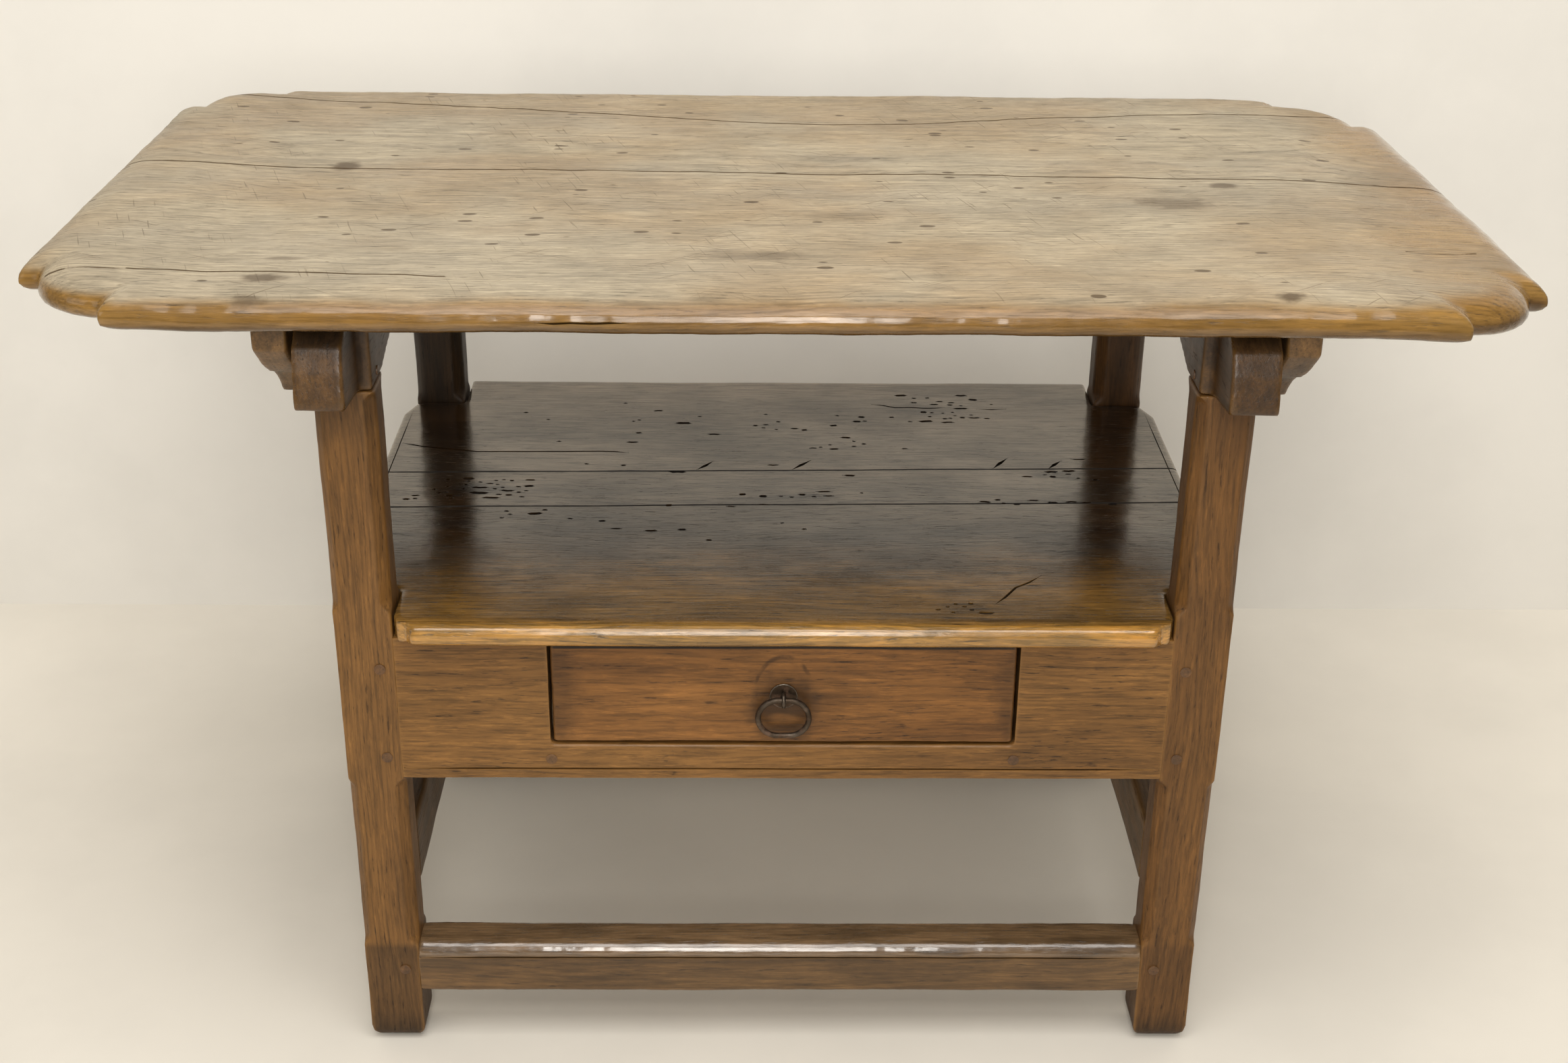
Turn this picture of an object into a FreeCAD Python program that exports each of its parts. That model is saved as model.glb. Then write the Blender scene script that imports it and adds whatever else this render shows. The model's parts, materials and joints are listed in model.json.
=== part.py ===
# Convertible oak table bench: a plank top that tips up on two pivot pins behind the arms
# and becomes the back of a bench, over a joined frame with a seat, a drawer and stretchers.
# Millimetres. +Z up, front is -Y, origin on the floor below the middle of the top.
import FreeCAD
import Part
import math
import os

V = FreeCAD.Vector
X_AXIS = V(1, 0, 0)
Z_AXIS = V(0, 0, 1)
ORIGIN = V(0, 0, 0)

# Driving dimensions: tilting top
TABLE_HEIGHT = 750.0
TOP_LENGTH = 1200.0
TOP_DEPTH = 650.0
TOP_THICK = 30.0
CORNER_LENGTH = 84.0
CORNER_DEPTH = 80.0
CORNER_STEP = 19.0
EDGE_ROUND = 11.0
PLANK_GAP = 0.8

# Driving dimensions: frame
BASE_WIDTH = 756.0
POST_WIDTH = 50.0
POST_DEPTH = 48.0
FRONT_FACE = -253.0
BACK_FACE = 269.0
FOOT_ROUND = 9.0
CHAMFER = 9.0
CHAMFER_RUN = 12.0
CHAMFER_OFF_RAIL = 8.0
POST_TENON_WIDTH = 28.0
POST_TENON_DEPTH = 24.0
POST_TENON_HEIGHT = 18.0
ARM_HEIGHT = 72.0
ARM_ARCH = 32.0
NOSE_LENGTH = 64.0
NOSE_WIDTH = 40.0
NOSE_TOP_SETBACK = 31.0
NOSE_BROW_SETBACK = 14.0
NOSE_BROW_RISE = 62.0
NOSE_CHEEK_SETBACK = 5.0
NOSE_CHEEK_RISE = 40.0
NOSE_CHIN_RISE = 18.0
NOSE_THROAT_SETBACK = 9.0
NOSE_THROAT_RISE = 11.0
TOP_CLEARANCE = 0.3

# Driving dimensions: seat, rails and stretchers
SEAT_HEIGHT = 448.0
SEAT_THICK = 22.0
SEAT_SIDE_OVERHANG = 10.0
SEAT_NOSE = 20.0
SEAT_NOSE_ROUND = 9.0
SEAT_NOSE_STOP = 10.0
SEAT_CLIP_LENGTH = 30.0
SEAT_BACK_OVERHANG = 9.0
SEAT_FIT = 0.5
RAIL_BOTTOM = 286.0
RAIL_THICK = 25.0
RAIL_SETBACK = 6.0
TENON_THICK = 11.0
TENON_LENGTH = 20.0
TENON_SHOULDER = 12.0
STRETCHER_BOTTOM = 55.0
STRETCHER_HEIGHT = 53.0
STRETCHER_DEPTH = 40.0
STRETCHER_WEAR = 7.0
SIDE_STRETCHER_BOTTOM = 147.0
SIDE_STRETCHER_HEIGHT = 64.0
SIDE_STRETCHER_THICK = 30.0
SIDE_STRETCHER_INSET = 2.0

# Driving dimensions: battens and pivots
BATTEN_THICK = 28.0
BATTEN_GAP = 4.0
BATTEN_HEIGHT = 88.0
BATTEN_FRONT = -298.0
BATTEN_BACK = 300.0
BATTEN_BAND = 22.0
BATTEN_OGEE = 85.0
OGEE_SHAPE = ((0, 0), (0.15, 0.17), (0.39, 0.35), (0.62, 0.62), (0.85, 0.92), (1, 1))
PIVOT_BACK = 235.0
PIVOT_DROP = 42.0
PIN_RADIUS = 8.0
PIN_RUNNING_FIT = 0.08
PIN_HEAD_RADIUS = 14.0
PIN_HEAD_THICK = 7.0
PIN_HEAD_GAP = 1.0
PIN_HEAD_ROUND = 2.5

# Driving dimensions: drawer and ring pull
DRAWER_OPENING = 400.0
DRAWER_OPENING_BOTTOM = 322.0
DRAWER_GAP = 2.0
DRAWER_LIFT = 1.5
DRAWER_FRONT_THICK = 20.0
DRAWER_SIDE_THICK = 12.0
DRAWER_SIDE_HEIGHT = 88.0
DRAWER_LENGTH = 400.0
DRAWER_BOTTOM_THICK = 9.0
DRAWER_BACK_HEIGHT = 72.0
DOVETAIL_LENGTH = 13.0
DOVETAIL_ROOT = 34.0
DOVETAIL_FLARE = 5.0
RUNNER_WIDTH = 50.0
RUNNER_HEIGHT = 30.0
GUIDE_WIDTH = 20.0
GUIDE_HEIGHT = 23.0
RING_WIDTH = 49.0
RING_HEIGHT = 40.0
RING_WIRE = 2.75
RING_CENTRE = 371.0
RING_STANDOFF = 8.5
STAPLE_WIRE = 1.9
STAPLE_CLEARANCE = 0.6
CLINCH_REACH = 11.0
ROSE_RADIUS = 12.0
ROSE_THICK = 1.5

# Driving dimensions: fasteners
PEG_RADIUS = 4.5
PEG_LENGTH = 36.0
LOWER_PEG = 22.0
UPPER_PEG = 31.0
NAIL_HEAD_RADIUS = 5.0
NAIL_HEAD_THICK = 2.0
NAIL_RADIUS = 1.8
SEAT_NAIL_LENGTH = 50.0
TOP_NAIL_LENGTH = 62.0
DRAWER_NAIL_RADIUS = 1.5
DRAWER_NAIL_LENGTH = 30.0
SEAT_FRONT_NAILS = (-285.0, -240.0, 240.0, 285.0)
SEAT_BACK_NAILS = (-250.0, -10.0, 230.0)
SEAT_SIDE_NAILS = (-150.0, -75.0, 8.0, 100.0, 180.0)
TOP_NAILS = (-270.0, -120.0, -10.0, 70.0, 180.0, 285.0)

# Driving dimensions: joints between planks. The top's front joint runs askew and its back one is
# bowed, as the planks were sawn from the log, and the seat's two joints run askew.
TOP_JOINTS = [
    [V(-620, 38, 0), V(620, 10, 0)],
    [V(-620, 291, 0), V(-300, 256, 0), V(-40, 205, 0), V(90, 199, 0), V(240, 224, 0),
     V(400, 248, 0), V(620, 269, 0)],
]
SEAT_JOINTS = [
    [V(-420, -41, 0), V(420, -21, 0)],
    [V(-420, 38, 0), V(420, 58, 0)],
]

# Two places nearer than this are the same place
TOUCH = 0.01

# Places worked out from the driving dimensions
POST_OUT = BASE_WIDTH / 2
POST_IN = POST_OUT - POST_WIDTH
FRONT_POST_BACK = FRONT_FACE + POST_DEPTH
BACK_POST_FRONT = BACK_FACE - POST_DEPTH
TOP_UNDER = TABLE_HEIGHT - TOP_THICK
ARM_TOP = TOP_UNDER - TOP_CLEARANCE
POST_TOP = TOP_UNDER - ARM_HEIGHT
SEAT_UNDER = SEAT_HEIGHT - SEAT_THICK
PIVOT_Z = TOP_UNDER - PIVOT_DROP
BATTEN_IN = POST_OUT + BATTEN_GAP
BATTEN_OUT = BATTEN_IN + BATTEN_THICK
DRAWER_HALF = DRAWER_OPENING / 2 - DRAWER_GAP
DRAWER_BASE = DRAWER_OPENING_BOTTOM + DRAWER_LIFT
DRAWER_FACE_BACK = FRONT_FACE + DRAWER_FRONT_THICK
DRAWER_END = FRONT_FACE + DRAWER_LENGTH
RING_AXIS = FRONT_FACE - RING_STANDOFF


def box(x0, x1, y0, y1, z0, z1):
    return Part.makeBox(x1 - x0, y1 - y0, z1 - z0, V(x0, y0, z0))


def rod(radius, start, end):
    span = end - start
    return Part.makeCylinder(radius, span.Length, start, span)


def mirrored(shape):
    return shape.mirror(ORIGIN, X_AXIS)


def both_sides(shape):
    return [shape, mirrored(shape)]


def prism(edges, direction):
    return Part.Face(Part.Wire(edges)).extrude(direction)


def line(start, end):
    return Part.LineSegment(start, end).toShape()


def polyline(points):
    return [line(a, b) for a, b in zip(points, points[1:])]


def arc(start, middle, end):
    return Part.Arc(start, middle, end).toShape()


def curve(points):
    spline = Part.BSplineCurve()
    spline.interpolate(points)
    return spline.toShape()


def export(name, shape):
    shape.exportStep("parts/" + name + ".step")


def export_group(name, solids):
    export(name, Part.makeCompound(solids))


def export_pair(name, shape):
    export(name + "_right", shape)
    export(name + "_left", mirrored(shape))


def bored(shape, cutters):
    for cutter in cutters:
        shape = shape.cut(cutter)
    return shape


# Rails: a board with a tenon at each end, let into the posts
def rail_across(y0, y1, z0, z1):
    middle = (y0 + y1) / 2
    board = box(-POST_IN, POST_IN, y0, y1, z0, z1)
    reach = POST_IN + TENON_LENGTH
    tenon = box(-reach, reach, middle - TENON_THICK / 2, middle + TENON_THICK / 2,
                z0 + TENON_SHOULDER, z1 - TENON_SHOULDER)
    return board.fuse(tenon).removeSplitter()


def rail_along(x0, x1, z0, z1):
    middle = (x0 + x1) / 2
    board = box(x0, x1, FRONT_POST_BACK, BACK_POST_FRONT, z0, z1)
    tenon = box(middle - TENON_THICK / 2, middle + TENON_THICK / 2,
                FRONT_POST_BACK - TENON_LENGTH, BACK_POST_FRONT + TENON_LENGTH,
                z0 + TENON_SHOULDER, z1 - TENON_SHOULDER)
    return board.fuse(tenon).removeSplitter()


def front_apron():
    board = rail_across(FRONT_FACE, FRONT_FACE + RAIL_THICK, RAIL_BOTTOM, SEAT_UNDER)
    opening = box(-DRAWER_OPENING / 2, DRAWER_OPENING / 2, FRONT_FACE - 1, FRONT_FACE + RAIL_THICK + 1,
                  DRAWER_OPENING_BOTTOM, SEAT_UNDER + 1)
    return board.cut(opening)


def back_apron():
    outer = BACK_FACE - RAIL_SETBACK
    return rail_across(outer - RAIL_THICK, outer, RAIL_BOTTOM, SEAT_UNDER)


def side_apron():
    outer = POST_OUT - RAIL_SETBACK
    return rail_along(outer - RAIL_THICK, outer, RAIL_BOTTOM, SEAT_UNDER)


def front_stretcher():
    board = rail_across(FRONT_FACE, FRONT_FACE + STRETCHER_DEPTH, STRETCHER_BOTTOM,
                        STRETCHER_BOTTOM + STRETCHER_HEIGHT)
    top = STRETCHER_BOTTOM + STRETCHER_HEIGHT
    arris = [e for e in board.Edges
             if e.BoundBox.YMax < FRONT_FACE + TOUCH and e.BoundBox.ZMin > top - TOUCH]
    return board.makeChamfer(STRETCHER_WEAR, arris)


def back_stretcher():
    return rail_across(BACK_FACE - STRETCHER_DEPTH, BACK_FACE, STRETCHER_BOTTOM,
                       STRETCHER_BOTTOM + STRETCHER_HEIGHT)


def side_stretcher():
    inner = POST_IN + SIDE_STRETCHER_INSET
    return rail_along(inner, inner + SIDE_STRETCHER_THICK, SIDE_STRETCHER_BOTTOM,
                      SIDE_STRETCHER_BOTTOM + SIDE_STRETCHER_HEIGHT)


# Posts: square timber with rounded feet, stopped chamfers and a tenon up into the arm
def stopped_chamfer(corner_x, corner_y, into_x, into_y, z0, z1):
    inward = V(into_x, into_y, 0).normalize()
    depth = CHAMFER / math.sqrt(2)
    corner = V(corner_x, corner_y, 0)
    outside = corner - inward
    floor = corner + inward * depth
    points = [outside + Z_AXIS * z0, floor + Z_AXIS * (z0 + CHAMFER_RUN),
              floor + Z_AXIS * (z1 - CHAMFER_RUN), outside + Z_AXIS * z1, outside + Z_AXIS * z0]
    across = V(-into_y, into_x, 0).normalize() * POST_WIDTH
    cutter = prism(polyline(points), across)
    cutter.translate(across * -0.5)
    return cutter


def post(front):
    middle_x = (POST_IN + POST_OUT) / 2
    y0 = front
    y1 = front + POST_DEPTH
    middle_y = (y0 + y1) / 2
    shaft = box(POST_IN, POST_OUT, y0, y1, 0, POST_TOP)
    shaft = shaft.makeFillet(FOOT_ROUND, [e for e in shaft.Edges if e.BoundBox.ZMax < TOUCH])
    tenon = box(middle_x - POST_TENON_WIDTH / 2, middle_x + POST_TENON_WIDTH / 2,
                middle_y - POST_TENON_DEPTH / 2, middle_y + POST_TENON_DEPTH / 2,
                POST_TOP, POST_TOP + POST_TENON_HEIGHT)
    below_seat = (STRETCHER_BOTTOM + STRETCHER_HEIGHT + CHAMFER_OFF_RAIL, RAIL_BOTTOM - CHAMFER_OFF_RAIL)
    above_seat = (SEAT_HEIGHT + CHAMFER_OFF_RAIL, POST_TOP - CHAMFER_OFF_RAIL)
    corners = [(POST_IN, y0, 1, 1), (POST_OUT, y0, -1, 1), (POST_IN, y1, 1, -1), (POST_OUT, y1, -1, -1)]
    cutters = [stopped_chamfer(x, y, into_x, into_y, z0, z1)
               for x, y, into_x, into_y in corners for z0, z1 in (below_seat, above_seat)]
    return bored(shaft, cutters).fuse(tenon).removeSplitter()


# Arms: deep boards on the post tops, arched below, with a scrolled nose and a rear end rounded
# about the pivot
def arm():
    def at(y, z):
        return V(POST_IN, y, z)

    nose = FRONT_FACE - NOSE_LENGTH
    swing = ARM_TOP - PIVOT_Z
    rear_rise = math.sqrt(swing ** 2 - (BACK_FACE - PIVOT_BACK) ** 2)
    half_turn = math.asin((BACK_FACE - PIVOT_BACK) / swing) / 2
    rear_middle = at(PIVOT_BACK + swing * math.sin(half_turn), PIVOT_Z + swing * math.cos(half_turn))
    arch_crown = at((FRONT_POST_BACK + BACK_POST_FRONT) / 2, POST_TOP + ARM_ARCH)
    top = at(nose + NOSE_TOP_SETBACK, ARM_TOP)
    brow = at(nose + NOSE_BROW_SETBACK, POST_TOP + NOSE_BROW_RISE)
    cheek = at(nose + NOSE_CHEEK_SETBACK, POST_TOP + NOSE_CHEEK_RISE)
    chin = at(nose, POST_TOP + NOSE_CHIN_RISE)
    throat = at(nose + NOSE_THROAT_SETBACK, POST_TOP + NOSE_THROAT_RISE)
    chin_round = at(nose + 0.3 * NOSE_THROAT_SETBACK, POST_TOP + NOSE_THROAT_RISE + 2)
    edges = [
        arc(throat, chin_round, chin),
        curve([chin, cheek, brow, top]),
        line(top, at(PIVOT_BACK, ARM_TOP)),
        arc(at(PIVOT_BACK, ARM_TOP), rear_middle, at(BACK_FACE, PIVOT_Z + rear_rise)),
        line(at(BACK_FACE, PIVOT_Z + rear_rise), at(BACK_FACE, POST_TOP)),
        line(at(BACK_FACE, POST_TOP), at(BACK_POST_FRONT, POST_TOP)),
        arc(at(BACK_POST_FRONT, POST_TOP), arch_crown, at(FRONT_POST_BACK, POST_TOP)),
        line(at(FRONT_POST_BACK, POST_TOP), at(FRONT_FACE, POST_TOP)),
        line(at(FRONT_FACE, POST_TOP), throat),
    ]
    board = prism(edges, X_AXIS * POST_WIDTH)
    thinned = box(POST_IN - 1, POST_OUT - NOSE_WIDTH, nose - 1, FRONT_FACE, POST_TOP - 1, ARM_TOP + 1)
    return board.cut(thinned)


# Pivots: a headed oak pin fast in the arm, on which the batten turns
def pivot_pin():
    head_in = BATTEN_OUT + PIN_HEAD_GAP
    head_out = head_in + PIN_HEAD_THICK
    shank = rod(PIN_RADIUS, V(POST_IN, PIVOT_BACK, PIVOT_Z), V(head_in, PIVOT_BACK, PIVOT_Z))
    head = rod(PIN_HEAD_RADIUS, V(head_in, PIVOT_BACK, PIVOT_Z), V(head_out, PIVOT_BACK, PIVOT_Z))
    head_rim = [e for e in head.Edges if e.BoundBox.XMin > head_out - TOUCH]
    return shank.fuse(head.makeFillet(PIN_HEAD_ROUND, head_rim)).removeSplitter()


# Battens: deep cleats under the top, outside the arms, ogee cut at both ends
def batten():
    def at(y, z):
        return V(BATTEN_IN, y, z)

    bottom = TOP_UNDER - BATTEN_HEIGHT
    band = TOP_UNDER - BATTEN_BAND
    drop = band - bottom

    def ogee(end, inward):
        return curve([at(end + inward * along * BATTEN_OGEE, band - down * drop)
                      for along, down in OGEE_SHAPE])

    edges = [
        line(at(BATTEN_BACK, band), at(BATTEN_BACK, TOP_UNDER)),
        line(at(BATTEN_BACK, TOP_UNDER), at(BATTEN_FRONT, TOP_UNDER)),
        line(at(BATTEN_FRONT, TOP_UNDER), at(BATTEN_FRONT, band)),
        ogee(BATTEN_FRONT, 1),
        line(at(BATTEN_FRONT + BATTEN_OGEE, bottom), at(BATTEN_BACK - BATTEN_OGEE, bottom)),
        ogee(BATTEN_BACK, -1),
    ]
    board = prism(Part.__sortEdges__(edges), X_AXIS * BATTEN_THICK)
    hole = rod(PIN_RADIUS + PIN_RUNNING_FIT, V(BATTEN_IN - 1, PIVOT_BACK, PIVOT_Z),
               V(BATTEN_OUT + 1, PIVOT_BACK, PIVOT_Z))
    return board.cut(hole)


# Top: one outline with a rounded lobe between two steps at each corner, divided into three planks
def top_slab():
    half_x = TOP_LENGTH / 2
    half_y = TOP_DEPTH / 2
    side_end = half_y - CORNER_DEPTH
    front_end = half_x - CORNER_LENGTH
    lobe_x = half_x - CORNER_STEP
    lobe_y = half_y - CORNER_STEP
    lean = math.sqrt(0.5)

    def corner(sx, sy):
        def at(x, y):
            return V(sx * x, sy * y, TOP_UNDER)

        lobe_middle = at(front_end + (lobe_x - front_end) * lean, side_end + (lobe_y - side_end) * lean)
        return [
            line(at(half_x, side_end), at(lobe_x, side_end)),
            arc(at(lobe_x, side_end), lobe_middle, at(front_end, lobe_y)),
            line(at(front_end, lobe_y), at(front_end, half_y)),
        ]

    def at(x, y):
        return V(x, y, TOP_UNDER)

    edges = corner(1, 1) + corner(-1, 1) + corner(-1, -1) + corner(1, -1)
    for side in (-1, 1):
        edges.append(line(at(-front_end, side * half_y), at(front_end, side * half_y)))
        edges.append(line(at(side * half_x, -side_end), at(side * half_x, side_end)))
    slab = prism(Part.__sortEdges__(edges), Z_AXIS * TOP_THICK)
    long_rims = [e for e in slab.Edges
                 if e.Length > TOP_DEPTH / 2 and e.BoundBox.ZLength < TOUCH]
    return slab.makeFillet(EDGE_ROUND, long_rims)


def joint_strip(path, z0, height):
    shifted = [p + V(0, PLANK_GAP, 0) for p in path]
    near = curve(path) if len(path) > 2 else line(path[0], path[1])
    far = curve(shifted) if len(path) > 2 else line(shifted[0], shifted[1])
    edges = [near, line(path[-1], shifted[-1]), far, line(shifted[0], path[0])]
    strip = prism(Part.__sortEdges__(edges), Z_AXIS * height)
    strip.translate(Z_AXIS * z0)
    return strip


def split_planks(slab, joints, z0, height):
    for path in joints:
        slab = slab.cut(joint_strip(path, z0 - 1, height + 2))
    return sorted(slab.Solids, key=lambda s: s.CenterOfMass.y)


# Seat: three planks notched round the posts, with a rounded nose between the front posts
def seat_slab():
    between = POST_IN - SEAT_FIT
    ear = POST_OUT + SEAT_SIDE_OVERHANG
    ear_front = FRONT_POST_BACK + SEAT_FIT
    ear_back = BACK_POST_FRONT - SEAT_FIT
    nose = between - SEAT_NOSE_STOP
    half = [(nose, FRONT_FACE - SEAT_NOSE), (nose, FRONT_FACE), (between, FRONT_FACE),
            (between, ear_front), (ear, ear_front),
            (ear, ear_back - SEAT_CLIP_LENGTH), (POST_OUT, ear_back), (between, ear_back),
            (between, BACK_FACE + SEAT_BACK_OVERHANG)]
    outline = [V(x, y, SEAT_UNDER) for x, y in half]
    outline += [V(-x, y, SEAT_UNDER) for x, y in reversed(half)]
    outline.append(outline[0])
    slab = prism(polyline(outline), Z_AXIS * SEAT_THICK)
    nose_edges = [e for e in slab.Edges
                  if e.BoundBox.YMax < FRONT_FACE - SEAT_NOSE + TOUCH and e.Length > POST_IN]
    return slab.makeFillet(SEAT_NOSE_ROUND, nose_edges)


# Fasteners
def nail(x, y, z, length):
    head = rod(NAIL_HEAD_RADIUS, V(x, y, z - NAIL_HEAD_THICK), V(x, y, z))
    return head.fuse(rod(NAIL_RADIUS, V(x, y, z - length), V(x, y, z - NAIL_HEAD_THICK))).removeSplitter()


def seat_nails():
    side_line = POST_OUT - RAIL_SETBACK - RAIL_THICK / 2
    front_line = FRONT_FACE + RAIL_THICK / 2
    back_line = BACK_FACE - RAIL_SETBACK - RAIL_THICK / 2
    places = [(x, front_line) for x in SEAT_FRONT_NAILS]
    places += [(x, back_line) for x in SEAT_BACK_NAILS]
    places += [(side * side_line, y) for side in (-1, 1) for y in SEAT_SIDE_NAILS]
    return [nail(x, y, SEAT_HEIGHT, SEAT_NAIL_LENGTH) for x, y in places]


def top_nails():
    line_x = (BATTEN_IN + BATTEN_OUT) / 2
    return [nail(side * line_x, y, TABLE_HEIGHT, TOP_NAIL_LENGTH)
            for side in (-1, 1) for y in TOP_NAILS]


def front_and_back_pegs(heights):
    x = POST_IN + TENON_LENGTH * 0.7
    pegs = []
    for side in (-1, 1):
        for z in heights:
            pegs.append(rod(PEG_RADIUS, V(side * x, FRONT_FACE, z), V(side * x, FRONT_FACE + PEG_LENGTH, z)))
            pegs.append(rod(PEG_RADIUS, V(side * x, BACK_FACE, z), V(side * x, BACK_FACE - PEG_LENGTH, z)))
    return pegs


def side_pegs(heights):
    inset = TENON_LENGTH * 0.6
    point = POST_OUT - PEG_LENGTH
    pegs = []
    for side in (-1, 1):
        for y in (FRONT_POST_BACK - inset, BACK_POST_FRONT + inset):
            for z in heights:
                pegs.append(rod(PEG_RADIUS, V(side * POST_OUT, y, z), V(side * point, y, z)))
    return pegs


def arm_pegs():
    z = POST_TOP + POST_TENON_HEIGHT / 2
    middles = (FRONT_FACE + POST_DEPTH / 2, BACK_FACE - POST_DEPTH / 2)
    return [rod(PEG_RADIUS * 0.8, V(side * POST_IN, y, z), V(side * POST_OUT, y, z))
            for side in (-1, 1) for y in middles]


def runner_pegs():
    z = DRAWER_OPENING_BOTTOM - RUNNER_HEIGHT / 2
    return [rod(PEG_RADIUS, V(side * DRAWER_OPENING / 2, FRONT_FACE, z),
                V(side * DRAWER_OPENING / 2, FRONT_FACE + RAIL_THICK + PEG_LENGTH, z)) for side in (-1, 1)]


# Drawer and what carries it
def runner():
    x0 = DRAWER_OPENING / 2 - RUNNER_WIDTH / 2
    back = BACK_FACE - RAIL_SETBACK - RAIL_THICK
    return box(x0, x0 + RUNNER_WIDTH, FRONT_FACE + RAIL_THICK, back,
               DRAWER_OPENING_BOTTOM - RUNNER_HEIGHT, DRAWER_OPENING_BOTTOM)


def guide():
    x0 = DRAWER_OPENING / 2
    back = BACK_FACE - RAIL_SETBACK - RAIL_THICK
    return box(x0, x0 + GUIDE_WIDTH, FRONT_FACE + RAIL_THICK, back,
               DRAWER_OPENING_BOTTOM, DRAWER_OPENING_BOTTOM + GUIDE_HEIGHT)


def drawer_side():
    x0 = DRAWER_HALF - DRAWER_SIDE_THICK
    board = box(x0, DRAWER_HALF, DRAWER_FACE_BACK, DRAWER_END, DRAWER_BASE, DRAWER_BASE + DRAWER_SIDE_HEIGHT)
    middle = DRAWER_BASE + DRAWER_SIDE_HEIGHT / 2
    root = DOVETAIL_ROOT / 2
    flared = root + DOVETAIL_FLARE
    tip = DRAWER_FACE_BACK - DOVETAIL_LENGTH
    points = [V(x0, DRAWER_FACE_BACK, middle - root), V(x0, tip, middle - flared),
              V(x0, tip, middle + flared), V(x0, DRAWER_FACE_BACK, middle + root)]
    tail = prism(polyline(points + points[:1]), X_AXIS * DRAWER_SIDE_THICK)
    return board.fuse(tail).removeSplitter()


def drawer_front():
    board = box(-DRAWER_HALF, DRAWER_HALF, FRONT_FACE, DRAWER_FACE_BACK,
                DRAWER_BASE, SEAT_UNDER - DRAWER_LIFT)
    return bored(board, both_sides(drawer_side()))


def drawer_bottom():
    inner = DRAWER_HALF - DRAWER_SIDE_THICK
    return box(-inner, inner, DRAWER_FACE_BACK, DRAWER_END, DRAWER_BASE, DRAWER_BASE + DRAWER_BOTTOM_THICK)


def drawer_back():
    inner = DRAWER_HALF - DRAWER_SIDE_THICK
    z0 = DRAWER_BASE + DRAWER_BOTTOM_THICK
    return box(-inner, inner, DRAWER_END - DRAWER_SIDE_THICK, DRAWER_END, z0, z0 + DRAWER_BACK_HEIGHT)


def drawer_nails():
    y = DRAWER_END - DRAWER_SIDE_THICK / 2
    heights = (DRAWER_BASE + 0.3 * DRAWER_SIDE_HEIGHT, DRAWER_BASE + 0.7 * DRAWER_SIDE_HEIGHT)
    point = DRAWER_HALF - DRAWER_NAIL_LENGTH
    return [rod(DRAWER_NAIL_RADIUS, V(side * DRAWER_HALF, y, z), V(side * point, y, z))
            for side in (-1, 1) for z in heights]


# Ring pull: a D-shaped wrought ring hung in the eye of a clinched staple, over a small rose
def ring():
    half = RING_WIDTH / 2 - RING_WIRE
    drop = RING_HEIGHT - 2 * RING_WIRE
    bend = drop / 2
    flat = half - bend
    lean = bend * math.sqrt(0.5)

    def at(x, fall):
        return V(x, RING_AXIS, RING_CENTRE - fall)

    path = Part.Wire([
        line(at(0, 0), at(flat, 0)),
        arc(at(flat, 0), at(flat + lean, bend - lean), at(half, bend)),
        arc(at(half, bend), at(flat + lean, bend + lean), at(flat, drop)),
        line(at(flat, drop), at(0, drop)),
    ])
    section = Part.Wire([Part.makeCircle(RING_WIRE, at(0, 0), X_AXIS)])
    right = path.makePipeShell([section], True, False)
    return right.fuse(mirrored(right)).removeSplitter()


def staple():
    eye_radius = RING_WIRE + STAPLE_CLEARANCE + STAPLE_WIRE
    eye = Part.makeTorus(eye_radius, STAPLE_WIRE, V(0, RING_AXIS, RING_CENTRE), X_AXIS)
    inside = DRAWER_FACE_BACK + STAPLE_WIRE
    shank = rod(STAPLE_WIRE, V(0, RING_AXIS + eye_radius, RING_CENTRE), V(0, inside, RING_CENTRE))
    clinch = rod(STAPLE_WIRE, V(-CLINCH_REACH, inside, RING_CENTRE), V(CLINCH_REACH, inside, RING_CENTRE))
    return eye.fuse([shank, clinch]).removeSplitter()


def rose():
    return rod(ROSE_RADIUS, V(0, FRONT_FACE - ROSE_THICK, RING_CENTRE), V(0, FRONT_FACE, RING_CENTRE))


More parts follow.
